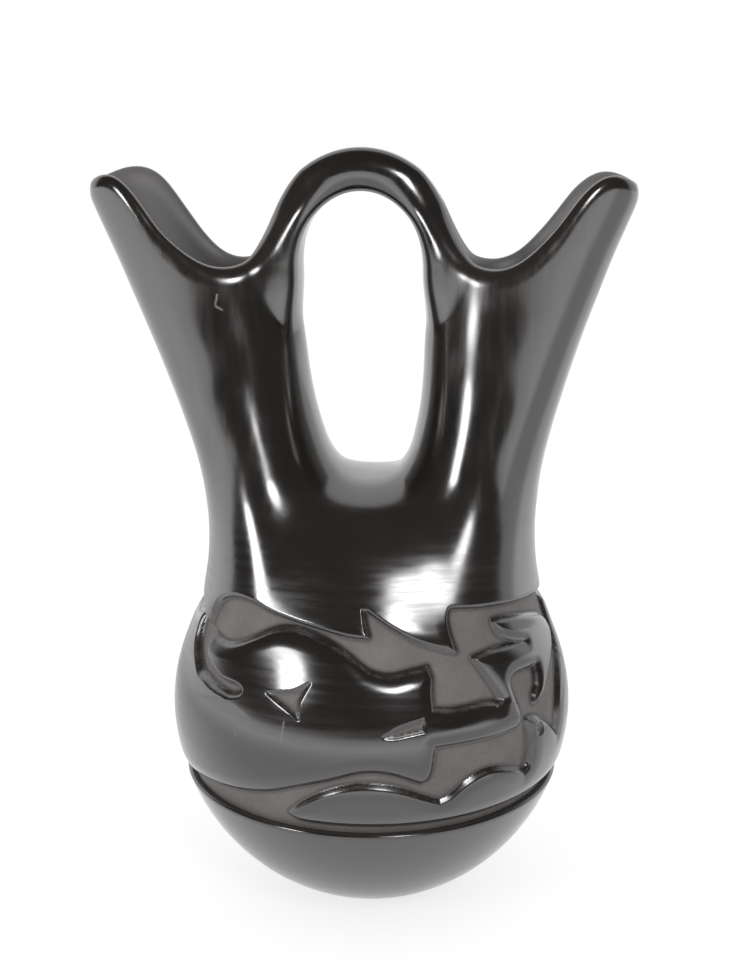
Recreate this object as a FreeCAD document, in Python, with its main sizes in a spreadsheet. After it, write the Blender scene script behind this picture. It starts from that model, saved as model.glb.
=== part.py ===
import FreeCAD, Part
import Sketcher
import math
import os

# Wedding jar: a pueblo blackware vessel with one belly, two spouts and a stirrup handle.
# Millimetres. +Z is up, +X runs to the right-hand spout, -Y is the carved front, and the
# origin is the centre of the flat foot. Each node is a piece of clay that the potter forms
# and lutes to the next, so neighbours meet face to face on flat joints.

SIZES = {
    # Belly, turned about the axis: a foot, one wide bowl arc, a shoulder arc and a neck arc
    "foot_radius": 16.5,
    "belly_height": 69.0,
    "belly_radius": 68.0,
    "shoulder_arc": 50.0,
    "waist_rise": 57.0,
    "waist_draw": 13.0,
    "base_drop": 23.0,
    "band_rise": 38.0,
    "wall": 7.0,
    "floor_thickness": 8.0,
    # Groove under the carved band
    "groove_width": 4.5,
    "carve_depth": 2.4,
    # Oval neck, pinched in the middle until it parts into two spouts
    "shoulder_rise": 13.0,
    "crotch_rise": 24.0,
    "crotch_widening": 2.0,
    "crotch_half_depth": 32.5,
    "neck_swell": 3.0,
    "crotch_crest_depth": 18.0,
    "pinch_spread": 20.0,
    "saddle_thickness": 11.0,
    "saddle_half_width": 10.0,
    "saddle_height": 15.0,
    # Spouts: two flaring ovals that lean apart
    "spout_rise": 100.0,
    "spout_flare": 37.0,
    "crotch_half_gap": 12.6,
    "spout_half_gap": 19.7,
    "spout_half_depth": 20.0,
    "lip_wall": 4.2,
    "inner_wall": 12.0,
    "lean": 3.0,
    # Rim: a dip beside the handle, a long rise and a rounded outer tip
    "rim_dip_rise": 65.4,
    "rim_dip_offset": 22.3,
    "rim_tip_rise": 29.8,
    "rim_tip_inset": 13.0,
    "rim_corner_inset": 4.0,
    "rim_corner_drop": 6.5,
    # Handle: an oval roll bent into a half circle on two legs
    "handle_seat_rise": 1.1,
    "handle_leg": 5.0,
    "handle_thickness": 12.8,
    "handle_depth": 15.6,
    # Plain working room for cutters
    "overrun": 12.0,
}

# Heights and reaches that stand on others: each is the sum of the sizes that it names
SUMS = {
    "base_top": ("belly_height", "-base_drop"),
    "band_top": ("belly_height", "band_rise"),
    "shoulder_top": ("band_top", "shoulder_rise"),
    "waist_height": ("belly_height", "waist_rise"),
    "waist_radius": ("belly_radius", "-waist_draw"),
    "crotch_height": ("waist_height", "crotch_rise"),
    "crotch_half_width": ("waist_radius", "crotch_widening"),
    "spout_top": ("crotch_height", "spout_rise"),
    "spout_reach": ("crotch_half_width", "spout_flare"),
    "rim_dip_height": ("crotch_height", "rim_dip_rise"),
    "rim_dip_reach": ("spout_half_gap", "rim_dip_offset"),
    "rim_tip_height": ("rim_dip_height", "rim_tip_rise"),
    "rim_tip_reach": ("spout_reach", "-rim_tip_inset"),
    "rim_corner_reach": ("spout_reach", "-rim_corner_inset"),
    "handle_seat_height": ("rim_dip_height", "handle_seat_rise"),
    "handle_spring_height": ("handle_seat_height", "handle_leg"),
}

# Neck levels between the band and the crotch: height share, half width share of its change from
# waist to crotch, half depth share of its change from belly to crotch, pinch share, and share
# of the change from a round level line to a square-shouldered one
NECK_SHARES = (
    (-0.14, 0.00, -0.04, 0.00, 0.00),
    (0.00, 0.00, 0.00, 0.00, 0.00),
    (0.12, 0.00, 0.12, 0.00, 0.06),
    (0.30, 0.00, 0.38, 0.02, 0.24),
    (0.50, 0.00, 0.63, 0.10, 0.46),
    (0.74, 0.16, 0.84, 0.36, 0.74),
    (0.89, 0.58, 0.94, 0.68, 0.91),
    (1.00, 1.00, 1.00, 1.00, 1.00),
)
# How far the rim outline runs on downwards outside the tip, in drops of its corner
RUN_OUT_SHARE = 4.0
# Power of the level line: 2 is an oval, more is squarer
ROUND_POWER = 2.0
SQUARE_POWER = 3.0

# Spout levels from below the crotch to above the rim: height share, outer reach share,
# gap share, half depth share, wall share and lean share
SPOUT_SHARES = (
    (-0.20, -0.05, -0.50, -0.12, 0.00, -0.20),
    (0.00, 0.00, 0.00, 0.00, 0.00, -0.06),
    (0.15, 0.12, 0.52, 0.29, 0.10, 0.12),
    (0.30, 0.26, 0.80, 0.56, 0.28, 0.34),
    (0.42, 0.38, 0.93, 0.68, 0.45, 0.52),
    (0.56, 0.51, 1.00, 0.80, 0.64, 0.74),
    (0.72, 0.68, 1.01, 0.88, 0.84, 0.90),
    (0.86, 0.84, 1.00, 0.96, 1.00, 1.00),
    (1.00, 1.00, 0.96, 1.00, 1.00, 1.00),
)

# Rim outline from the dip to the tip: reach share and height share
RIM_SHARES = (
    (0.00, 0.00),
    (0.21, 0.09),
    (0.36, 0.27),
    (0.51, 0.51),
    (0.64, 0.73),
    (0.79, 0.90),
    (1.00, 1.00),
)

SECTION_POINTS = 32

document = FreeCAD.newDocument("wedding_jar")
sheet = document.addObject("Spreadsheet::Sheet", "sizes")
for row, (alias, value) in enumerate(SIZES.items(), start=1):
    sheet.set(f"A{row}", alias)
    sheet.set(f"B{row}", str(value))
    sheet.setAlias(f"B{row}", alias)
document.recompute()


def size(name):
    """The value of a size, or of a sum of sizes."""
    if name in SUMS:
        return sum(size(part) for part in SUMS[name])
    if name.startswith("-"):
        return -size(name[1:])
    return float(sheet.get(name))


def cell(name):
    """The same as size, as a formula of the sheet's cells."""
    if name in SUMS:
        return "(" + " + ".join(cell(part) for part in SUMS[name]) + ")"
    if name.startswith("-"):
        return "-" + cell(name[1:])
    return "sizes." + name


def share(start, end, part):
    """The value at a share of the way from start to end."""
    return start + part * (end - start)


def blend(start_name, end_name, part):
    """The value at a share of the way between two sizes."""
    return share(size(start_name), size(end_name), part)


def make_body(name):
    """A body with a sketch on its upright plane, where x is the radius and y the height."""
    body = document.addObject("PartDesign::Body", name)
    sketch = body.newObject("Sketcher::SketchObject", name + "_profile")
    plane = next(part for part in body.Origin.OriginFeatures if part.Role == "XZ_Plane")
    sketch.AttachmentSupport = [(plane, "")]
    sketch.MapMode = "FlatFace"
    return body, sketch


def turn_profile(body, sketch):
    """Turn the sketch once round the upright axis."""
    turned = body.newObject("PartDesign::Revolution", body.Name + "_turned")
    turned.Profile = sketch
    turned.ReferenceAxis = (sketch, ["V_Axis"])
    turned.Angle = 360.0
    body.Tip = turned


def rule(sketch, kind, places, label, value, formula):
    """Add one named size to a sketch and tie it to the sheet."""
    index = sketch.addConstraint(Sketcher.Constraint(kind, *places, value))
    sketch.renameConstraint(index, label)
    sketch.setExpression("Constraints." + label, formula)


START_INDEX, END_INDEX, CENTRE_INDEX = 1, 2, 3
ORIGIN_INDEX = -1

# The bowl arc is upright at the belly and ends at the foot's edge
BOWL_FORMULA = (
    "((sizes.belly_radius - sizes.foot_radius)^2 + sizes.belly_height^2)"
    " / (2 * (sizes.belly_radius - sizes.foot_radius))"
)
# The neck arc is upright at the waist and touches the shoulder arc
NECK_FORMULA = (
    "((sizes.shoulder_arc - sizes.waist_draw)^2 + sizes.waist_rise^2 - sizes.shoulder_arc^2)"
    " / (2 * sizes.waist_draw)"
)


def bowl_arc_radius():
    """Radius of the bowl arc, as BOWL_FORMULA gives it."""
    rise = size("belly_radius") - size("foot_radius")
    return (rise**2 + size("belly_height")**2) / (2 * rise)


def neck_arc_radius():
    """Radius of the neck arc, as NECK_FORMULA gives it."""
    across = size("shoulder_arc") - size("waist_draw")
    square = across**2 + size("waist_rise")**2 - size("shoulder_arc")**2
    return square / (2 * size("waist_draw"))


def arc_between(centre, radius, start, end):
    """A counter-clockwise arc of a sketch from the direction of start to that of end."""
    circle = Part.Circle(FreeCAD.Vector(*centre, 0), FreeCAD.Vector(0, 0, 1), radius)
    first = math.atan2(start[1] - centre[1], start[0] - centre[0])
    last = math.atan2(end[1] - centre[1], end[0] - centre[0])
    return Part.ArcOfCircle(circle, first, last)


def line_between(start, end):
    """A straight edge of a sketch."""
    return Part.LineSegment(FreeCAD.Vector(*start, 0), FreeCAD.Vector(*end, 0))


def bowl_point(height, inset):
    """The point of the bowl arc, moved in by inset, at a height."""
    radius = bowl_arc_radius() - inset
    across = math.sqrt(radius**2 - (height - size("belly_height"))**2)
    return (size("belly_radius") - bowl_arc_radius() + across, height)


def neck_point(height, inset):
    """The point of the neck arc, moved in by inset, at a height."""
    radius = neck_arc_radius() + inset
    across = math.sqrt(radius**2 - (height - size("waist_height"))**2)
    return (size("waist_radius") + neck_arc_radius() - across, height)


def touch_point(inset):
    """Where the shoulder arc and the neck arc touch, both moved in by inset."""
    centre = (size("belly_radius") - size("shoulder_arc"), size("belly_height"))
    other = (size("waist_radius") + neck_arc_radius(), size("waist_height"))
    reach = math.hypot(other[0] - centre[0], other[1] - centre[1])
    part = (size("shoulder_arc") - inset) / reach
    return (share(centre[0], other[0], part), share(centre[1], other[1], part))


def join_ends(sketch, pairs):
    """Join the end of each edge to the next one."""
    for first, first_end, second, second_end in pairs:
        sketch.addConstraint(Sketcher.Constraint("Coincident", first, first_end, second, second_end))


def make_base_bowl():
    """Pressed bowl with the flat foot."""
    body, sketch = make_body("base_bowl")
    wall = size("wall")
    floor = size("floor_thickness")
    top = size("base_top")
    centre = (size("belly_radius") - bowl_arc_radius(), size("belly_height"))
    foot_edge = (size("foot_radius"), 0)
    rim_out = bowl_point(top, 0)
    rim_in = bowl_point(top, wall)
    floor_edge = bowl_point(floor, wall)
    foot, outside, rim, inside, floor_line, axis = range(6)
    sketch.addGeometry([
        line_between((0, 0), foot_edge),
        arc_between(centre, bowl_arc_radius(), foot_edge, rim_out),
        line_between(rim_out, rim_in),
        arc_between(centre, bowl_arc_radius() - wall, floor_edge, rim_in),
        line_between(floor_edge, (0, floor)),
        line_between((0, floor), (0, 0)),
    ])
    join_ends(sketch, [
        (axis, END_INDEX, foot, START_INDEX),
        (foot, START_INDEX, ORIGIN_INDEX, START_INDEX),
        (foot, END_INDEX, outside, START_INDEX),
        (outside, END_INDEX, rim, START_INDEX),
        (rim, END_INDEX, inside, END_INDEX),
        (inside, START_INDEX, floor_line, START_INDEX),
        (floor_line, END_INDEX, axis, START_INDEX),
        (outside, CENTRE_INDEX, inside, CENTRE_INDEX),
    ])
    for flat in (foot, rim, floor_line):
        sketch.addConstraint(Sketcher.Constraint("Horizontal", flat))
    sketch.addConstraint(Sketcher.Constraint("Vertical", axis))
    rule(sketch, "DistanceX", (foot, START_INDEX, foot, END_INDEX), "foot", size("foot_radius"),
         "sizes.foot_radius")
    rule(sketch, "DistanceY", (foot, START_INDEX, outside, CENTRE_INDEX), "centre_height",
         size("belly_height"), "sizes.belly_height")
    rule(sketch, "Radius", (outside,), "bowl_arc", bowl_arc_radius(), BOWL_FORMULA)
    rule(sketch, "Radius", (inside,), "inner_arc", bowl_arc_radius() - wall,
         BOWL_FORMULA + " - sizes.wall")
    rule(sketch, "DistanceY", (foot, START_INDEX, rim, START_INDEX), "top", top, cell("base_top"))
    rule(sketch, "DistanceY", (foot, START_INDEX, floor_line, START_INDEX), "floor", floor,
         "sizes.floor_thickness")
    turn_profile(body, sketch)
    return body


def make_carved_belly():
    """Coiled belly wall, with the groove that runs round under the carved band."""
    body, sketch = make_body("carved_belly")
    wall = size("wall")
    depth = size("carve_depth")
    bottom = size("base_top")
    groove_top = bottom + size("groove_width")
    top = size("band_top")
    bowl_centre = (size("belly_radius") - bowl_arc_radius(), size("belly_height"))
    shoulder_centre = (size("belly_radius") - size("shoulder_arc"), size("belly_height"))
    neck_centre = (size("waist_radius") + neck_arc_radius(), size("waist_height"))
    widest = (size("belly_radius"), size("belly_height"))
    widest_in = (size("belly_radius") - wall, size("belly_height"))
    touch = touch_point(0)
    touch_in = touch_point(wall)
    low_in = bowl_point(bottom, wall)
    low_out = bowl_point(bottom, depth)
    groove_in = bowl_point(groove_top, depth)
    groove_out = bowl_point(groove_top, 0)
    top_out = neck_point(top, 0)
    top_in = neck_point(top, wall)
    (seat, groove, ledge, outside, shoulder, neck, rim, neck_in, shoulder_in, inside) = range(10)
    sketch.addGeometry([
        line_between(low_in, low_out),
        arc_between(bowl_centre, bowl_arc_radius() - depth, low_out, groove_in),
        line_between(groove_in, groove_out),
        arc_between(bowl_centre, bowl_arc_radius(), groove_out, widest),
        arc_between(shoulder_centre, size("shoulder_arc"), widest, touch),
        arc_between(neck_centre, neck_arc_radius(), top_out, touch),
        line_between(top_out, top_in),
        arc_between(neck_centre, neck_arc_radius() + wall, top_in, touch_in),
        arc_between(shoulder_centre, size("shoulder_arc") - wall, widest_in, touch_in),
        arc_between(bowl_centre, bowl_arc_radius() - wall, low_in, widest_in),
    ])
    join_ends(sketch, [
        (seat, END_INDEX, groove, START_INDEX),
        (groove, END_INDEX, ledge, START_INDEX),
        (ledge, END_INDEX, outside, START_INDEX),
        (neck, START_INDEX, rim, START_INDEX),
        (rim, END_INDEX, neck_in, START_INDEX),
        (inside, START_INDEX, seat, START_INDEX),
        (outside, CENTRE_INDEX, inside, CENTRE_INDEX),
        (outside, CENTRE_INDEX, groove, CENTRE_INDEX),
        (shoulder, CENTRE_INDEX, shoulder_in, CENTRE_INDEX),
        (neck, CENTRE_INDEX, neck_in, CENTRE_INDEX),
    ])
    for first, first_end, second, second_end in (
        (outside, END_INDEX, shoulder, START_INDEX),
        (shoulder, END_INDEX, neck, END_INDEX),
        (inside, END_INDEX, shoulder_in, START_INDEX),
        (shoulder_in, END_INDEX, neck_in, END_INDEX),
    ):
        sketch.addConstraint(Sketcher.Constraint("Tangent", first, first_end, second, second_end))
    for flat in (seat, ledge, rim):
        sketch.addConstraint(Sketcher.Constraint("Horizontal", flat))
    heights = (
        ("bottom", seat, START_INDEX, bottom, cell("base_top")),
        ("groove_top", ledge, START_INDEX, groove_top, cell("base_top") + " + sizes.groove_width"),
        ("bowl_centre_height", outside, CENTRE_INDEX, size("belly_height"), "sizes.belly_height"),
        ("shoulder_centre_height", shoulder, CENTRE_INDEX, size("belly_height"), "sizes.belly_height"),
        ("neck_centre_height", neck, CENTRE_INDEX, size("waist_height"), cell("waist_height")),
        ("top", rim, START_INDEX, top, cell("band_top")),
    )
    for label, edge, place, value, formula in heights:
        rule(sketch, "DistanceY", (ORIGIN_INDEX, START_INDEX, edge, place), label, value, formula)
    radii = (
        ("bowl_arc", outside, bowl_arc_radius(), BOWL_FORMULA),
        ("groove_arc", groove, bowl_arc_radius() - depth, BOWL_FORMULA + " - sizes.carve_depth"),
        ("inner_arc", inside, bowl_arc_radius() - wall, BOWL_FORMULA + " - sizes.wall"),
        ("shoulder_arc", shoulder, size("shoulder_arc"), "sizes.shoulder_arc"),
        ("neck_arc", neck, neck_arc_radius(), NECK_FORMULA),
    )
    for label, edge, value, formula in radii:
        rule(sketch, "Radius", (edge,), label, value, formula)
    rule(sketch, "DistanceX", (ORIGIN_INDEX, START_INDEX, outside, END_INDEX), "widest",
         size("belly_radius"), "sizes.belly_radius")
    turn_profile(body, sketch)
    return body


def rounded(value, power):
    """A cosine or sine value bent to the given power of level line, with its sign kept."""
    return math.copysign(abs(value)**(ROUND_POWER / power), value)


def level(centre_x, height, half_width, half_depth, pinch=0.0, power=ROUND_POWER):
    """A closed level line of the wall. Its middle is drawn in by pinch from front and back."""
    points = []
    for step in range(SECTION_POINTS):
        angle = 2 * math.pi * step / SECTION_POINTS
        across = half_width * rounded(math.cos(angle), power)
        drawn = pinch * math.exp(-(across / size("pinch_spread"))**2)
        deep = (half_depth - drawn) * rounded(math.sin(angle), power)
        points.append(FreeCAD.Vector(centre_x + across, deep, height))
    curve = Part.BSplineCurve()
    curve.interpolate(Points=points, PeriodicFlag=True)
    return Part.Wire(curve.toShape())


def loft(name, levels):
    """A solid through level lines, for shapes that no primitive or sketch gives."""
    solid = document.addObject("Part::Feature", name)
    solid.Shape = Part.makeLoft(levels, True, False)
    return solid


def neck_level(up, inset):
    """The level line of the neck, moved in by inset, at a share of its height."""
    for lower, upper in zip(NECK_SHARES, NECK_SHARES[1:]):
        if up <= upper[0]:
            break
    part = (up - lower[0]) / (upper[0] - lower[0])
    widen, deepen, pinched, squared = (share(*ends, part) for ends in zip(lower[1:], upper[1:]))
    height = blend("band_top", "crotch_height", up)
    if height < size("waist_height"):
        half_width = neck_point(height, 0)[0]
    else:
        half_width = blend("waist_radius", "crotch_half_width", widen)
    band_radius = neck_point(size("band_top"), 0)[0]
    crotch_depth = size("crotch_half_depth") + size("neck_swell")
    half_depth = share(band_radius, crotch_depth, deepen)
    if up <= 0:
        half_depth = half_width
    pinch = (crotch_depth - size("crotch_crest_depth") / 2) * pinched
    power = share(ROUND_POWER, SQUARE_POWER, squared)
    return level(0, height, half_width - inset, half_depth - inset, pinch, power)


def spout_levels(side, bore):
    """Level lines of a spout, or of its bore, from below the crotch to above the rim."""
    levels = []
    for up, out, part, slim, thin, leaning in SPOUT_SHARES:
        height = blend("crotch_height", "spout_top", up)
        reach = blend("crotch_half_width", "spout_reach", out)
        gap = blend("crotch_half_gap", "spout_half_gap", part)
        half_depth = blend("crotch_half_depth", "spout_half_depth", slim)
        if bore:
            reach -= blend("wall", "lip_wall", thin)
            gap += blend("wall", "inner_wall", thin)
            half_depth -= blend("wall", "lip_wall", thin)
        middle = side * (reach + gap) / 2 - size("lean") * leaning
        levels.append(level(middle, height, (reach - gap) / 2, half_depth))
    return levels


def slab(name, low, high, half_width=None):
    """A box that keeps what lies between two heights. low and high are formulas."""
    box = document.addObject("Part::Box", name)
    across = half_width or "(" + cell("spout_reach") + " + sizes.overrun)"
    box.setExpression("Length", f"2 * {across}")
    box.setExpression("Width", "2 * (sizes.belly_radius + sizes.overrun)")
    box.setExpression("Height", f"{high} - ({low})")
    box.setExpression("Placement.Base.x", f"-{across}")
    box.setExpression("Placement.Base.y", "-(sizes.belly_radius + sizes.overrun)")
    box.setExpression("Placement.Base.z", low)
    return box


def combine(kind, name, parts):
    """A boolean of other objects: Part::MultiCommon, or Part::Cut of a pair."""
    result = document.addObject(kind, name)
    if kind == "Part::Cut":
        result.Base, result.Tool = parts
    else:
        result.Shapes = parts
    return result


def make_upper_walls():
    """Shoulder, neck and saddle, cut from one hollow wall."""
    wall = loft("neck_outside", [neck_level(row[0], 0) for row in NECK_SHARES])
    rise = size("crotch_height") - size("band_top")
    roof_share = 1 - size("saddle_thickness") / rise
    shares_below_roof = [row[0] for row in NECK_SHARES if row[0] < roof_share]
    levels = [neck_level(up, size("wall")) for up in shares_below_roof + [roof_share]]
    hollows = [loft("neck_space", levels)]
    hollows.append(loft("neck_bore_left", spout_levels(-1, True)))
    hollows.append(loft("neck_bore_right", spout_levels(1, True)))
    for hollow in hollows:
        wall = combine("Part::Cut", hollow.Name + "_cut", (wall, hollow))
    shoulder_slab = slab("shoulder_slab", cell("band_top"), cell("shoulder_top"))
    shoulder = combine("Part::MultiCommon", "shoulder", [wall, shoulder_slab])
    neck_slab = slab("neck_slab", cell("shoulder_top"), cell("crotch_height"))
    above = combine("Part::MultiCommon", "neck_all", [wall, neck_slab])
    low = "(" + cell("crotch_height") + " - sizes.saddle_height)"
    saddle_slab = slab("saddle_slab", low, cell("crotch_height"), "sizes.saddle_half_width")
    saddle = combine("Part::MultiCommon", "saddle", [above, saddle_slab])
    neck = combine("Part::Cut", "neck", (above, saddle_slab))
    return [shoulder, neck, saddle]


def rim_cutter():
    """What is cut away above the rims: its underside follows the dips and the tips."""
    middle = -size("lean")
    ends = []
    for side in (-1, 1):
        points = []
        for out, up in RIM_SHARES:
            reach = blend("rim_dip_reach", "rim_tip_reach", out)
            height = blend("rim_dip_height", "rim_tip_height", up)
            points.append(FreeCAD.Vector(middle + side * reach, -size("belly_radius"), height))
        corner_x = middle + side * size("rim_corner_reach")
        corner_height = size("rim_tip_height") - size("rim_corner_drop")
        points.append(FreeCAD.Vector(corner_x, -size("belly_radius"), corner_height))
        far_x = middle + side * (size("spout_reach") + size("overrun"))
        far_height = corner_height - RUN_OUT_SHARE * size("rim_corner_drop")
        points.append(FreeCAD.Vector(far_x, -size("belly_radius"), far_height))
        seat_x = middle + side * (size("spout_half_gap") + size("handle_thickness") / 2)
        seat = FreeCAD.Vector(seat_x, -size("belly_radius"), size("handle_seat_height"))
        points.insert(0, seat)
        ends.append(points)
    ceiling = size("spout_top") + size("overrun")
    curves = []
    for points in ends:
        curve = Part.BSplineCurve()
        curve.interpolate(Points=points)
        curves.append(curve.toShape())
    left_far, right_far = ends[0][-1], ends[1][-1]
    left_top = FreeCAD.Vector(left_far.x, left_far.y, ceiling)
    right_top = FreeCAD.Vector(right_far.x, right_far.y, ceiling)
    edges = [
        curves[0],
        Part.makeLine(left_far, left_top),
        Part.makeLine(left_top, right_top),
        Part.makeLine(right_top, right_far),
        curves[1],
        Part.makeLine(ends[1][0], ends[0][0]),
    ]
    face = Part.Face(Part.Wire(edges))
    cutter = document.addObject("Part::Feature", "rim_cutter")
    cutter.Shape = face.extrude(FreeCAD.Vector(0, 2 * size("belly_radius"), 0))
    return cutter


def make_spout(name, side, cutter):
    """A flaring spout with its bore, cut to its rim."""
    outside = loft(name + "_outside", spout_levels(side, False))
    bore = loft(name + "_bore", spout_levels(side, True))
    tube = combine("Part::Cut", name + "_tube", (outside, bore))
    ceiling = cell("spout_top") + " + sizes.overrun"
    keep = slab(name + "_slab", cell("crotch_height"), ceiling)
    upper = combine("Part::MultiCommon", name + "_upper", [tube, keep])
    return combine("Part::Cut", name, (upper, cutter))


def make_stirrup_handle():
    """Rolled handle: an oval section led up one leg, over the arch and down the other."""
    body, sketch = make_body("stirrup_handle")
    span = size("spout_half_gap") + size("handle_thickness") / 2
    middle = -size("lean")
    seat = size("handle_seat_height")
    spring = size("handle_spring_height")
    left_leg, arch, right_leg = range(3)
    circle = Part.Circle(FreeCAD.Vector(middle, spring, 0), FreeCAD.Vector(0, 0, 1), span)
    sketch.addGeometry([
        line_between((middle - span, seat), (middle - span, spring)),
        Part.ArcOfCircle(circle, 0, math.pi),
        line_between((middle + span, spring), (middle + span, seat)),
    ])
    for first, first_end, second, second_end in (
        (left_leg, END_INDEX, arch, END_INDEX),
        (arch, START_INDEX, right_leg, START_INDEX),
    ):
        sketch.addConstraint(Sketcher.Constraint("Tangent", first, first_end, second, second_end))
    sketch.addConstraint(Sketcher.Constraint("Vertical", left_leg))
    sketch.addConstraint(Sketcher.Constraint("Vertical", right_leg))
    span_formula = "(sizes.spout_half_gap + sizes.handle_thickness / 2)"
    rule(sketch, "Radius", (arch,), "span", span, span_formula)
    rule(sketch, "DistanceX", (arch, CENTRE_INDEX, ORIGIN_INDEX, START_INDEX), "lean",
         size("lean"), "sizes.lean")
    rule(sketch, "DistanceY", (ORIGIN_INDEX, START_INDEX, arch, CENTRE_INDEX), "spring", spring,
         cell("handle_spring_height"))
    rule(sketch, "DistanceY", (ORIGIN_INDEX, START_INDEX, left_leg, START_INDEX), "left_seat", seat,
         cell("handle_seat_height"))
    rule(sketch, "DistanceY", (ORIGIN_INDEX, START_INDEX, right_leg, END_INDEX), "right_seat", seat,
         cell("handle_seat_height"))
    roll = body.newObject("Sketcher::SketchObject", "stirrup_handle_roll")
    plane = next(part for part in body.Origin.OriginFeatures if part.Role == "XY_Plane")
    roll.AttachmentSupport = [(plane, "")]
    roll.MapMode = "FlatFace"
    roll.setExpression("AttachmentOffset.Base.x", "-sizes.lean - " + span_formula)
    roll.setExpression("AttachmentOffset.Base.z", cell("handle_seat_height"))
    half_thickness = size("handle_thickness") / 2
    half_depth = size("handle_depth") / 2
    oval = Part.Ellipse(FreeCAD.Vector(0, half_depth, 0), FreeCAD.Vector(half_thickness, 0, 0),
                        FreeCAD.Vector(0, 0, 0))
    roll.addGeometry(oval)
    roll.exposeInternalGeometry(0)
    join_ends(roll, [(0, CENTRE_INDEX, ORIGIN_INDEX, START_INDEX)])
    long_axis, short_axis = 1, 2
    roll.addConstraint(Sketcher.Constraint("Vertical", long_axis))
    rule(roll, "Distance", (long_axis,), "depth", 2 * half_depth, "sizes.handle_depth")
    rule(roll, "Distance", (short_axis,), "thickness", 2 * half_thickness, "sizes.handle_thickness")
    pipe = body.newObject("PartDesign::AdditivePipe", "stirrup_handle_bent")
    pipe.Profile = roll
    pipe.Spine = sketch
    body.Tip = pipe
    return body


cutter = rim_cutter()
pieces = [make_base_bowl(), make_carved_belly()]
pieces += make_upper_walls()
pieces += [make_spout("left_spout", -1, cutter), make_spout("right_spout", 1, cutter)]
pieces.append(make_stirrup_handle())
document.recompute()

for thing in document.Objects:
    if "Invalid" in thing.State or "Error" in thing.State:
        raise RuntimeError(f"{thing.Name} did not compute: {thing.State}")
for piece in pieces:
    piece.Label = piece.Name
    if piece.Shape.isNull() or not piece.Shape.isValid():
        raise RuntimeError(f"{piece.Name} has no valid shape")
    if len(piece.Shape.Solids) != 1:
        raise RuntimeError(f"{piece.Name} has {len(piece.Shape.Solids)} solids")

os.makedirs("parts", exist_ok=True)
for piece in pieces:
    piece.Shape.exportStep(f"parts/{piece.Name}.step")
    box = piece.Shape.BoundBox
    print(f"{piece.Name}: {piece.Shape.Volume / 1000:.1f} cm3, x {box.XMin:.1f} to {box.XMax:.1f},"
          f" y {box.YMin:.1f} to {box.YMax:.1f}, z {box.ZMin:.1f} to {box.ZMax:.1f}")
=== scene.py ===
import math

import bmesh
import bpy
import numpy as np
from bpy.props import FloatProperty, FloatVectorProperty, IntProperty, PointerProperty
from mathutils import Euler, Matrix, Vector


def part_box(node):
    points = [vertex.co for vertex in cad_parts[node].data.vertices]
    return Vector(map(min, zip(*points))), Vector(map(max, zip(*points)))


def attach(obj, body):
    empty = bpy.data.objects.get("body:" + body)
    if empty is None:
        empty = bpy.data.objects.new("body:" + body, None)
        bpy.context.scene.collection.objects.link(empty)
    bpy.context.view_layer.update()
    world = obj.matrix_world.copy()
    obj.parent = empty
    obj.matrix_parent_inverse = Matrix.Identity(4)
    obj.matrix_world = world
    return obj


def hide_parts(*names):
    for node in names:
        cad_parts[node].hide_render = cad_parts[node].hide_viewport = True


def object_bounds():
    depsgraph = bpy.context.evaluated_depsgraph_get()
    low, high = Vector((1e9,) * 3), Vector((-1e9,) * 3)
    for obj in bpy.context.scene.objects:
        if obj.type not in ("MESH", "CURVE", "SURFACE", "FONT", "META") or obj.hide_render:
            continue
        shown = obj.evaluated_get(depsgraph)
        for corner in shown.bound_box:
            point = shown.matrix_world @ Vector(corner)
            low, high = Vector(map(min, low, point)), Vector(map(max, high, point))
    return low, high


bl_info = {
    "name": "Pueblo Wedding Jar",
    "version": (1, 0, 0),
    "blender": (4, 5, 0),
    "location": "3D View > Sidebar > Jar",
    "description": "A polished blackware jar with two spouts, a handle and a carved band",
    "category": "Object",
}

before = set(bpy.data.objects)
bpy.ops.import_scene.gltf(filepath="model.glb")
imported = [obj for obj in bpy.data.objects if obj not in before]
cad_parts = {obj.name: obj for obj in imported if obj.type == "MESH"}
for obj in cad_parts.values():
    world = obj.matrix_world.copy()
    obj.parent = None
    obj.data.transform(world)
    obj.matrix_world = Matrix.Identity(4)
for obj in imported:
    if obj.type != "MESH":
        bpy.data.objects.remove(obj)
CAD_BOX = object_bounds()

MM = 0.001
LEAST = 1e-9
SHARP = True

# The jar is written in millimetres in the CAD frame: +Z up, +X to the right-hand spout, -Y the
# front. Degrees run round the belly from the front (0) to the right (90).

# Turned body: heights and radii of its outside
BODY_HEIGHTS = (0, 5, 12, 22, 36.5, 53, 69, 85, 104, 118)
BODY_RADII = (16.5, 28.6, 40.1, 50.4, 60.0, 66.1, 68.0, 65.5, 57.6, 50.0)
BODY_TOP = 145.6
BODY_TOP_ROUND = 22.0
WALL = 7.0
HOLLOW_TOP = 132.0
FLOOR = 7.0

# How far the upper part leans to the left at each height
LEAN_HEIGHTS = (0, 90, 128, 150, 180, 206, 240, 260)
LEANS = (0, -0.4, -0.3, 0.3, 1.6, 2.6, 3.3, 3.4)
RIM_LEAN = 3.3

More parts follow.
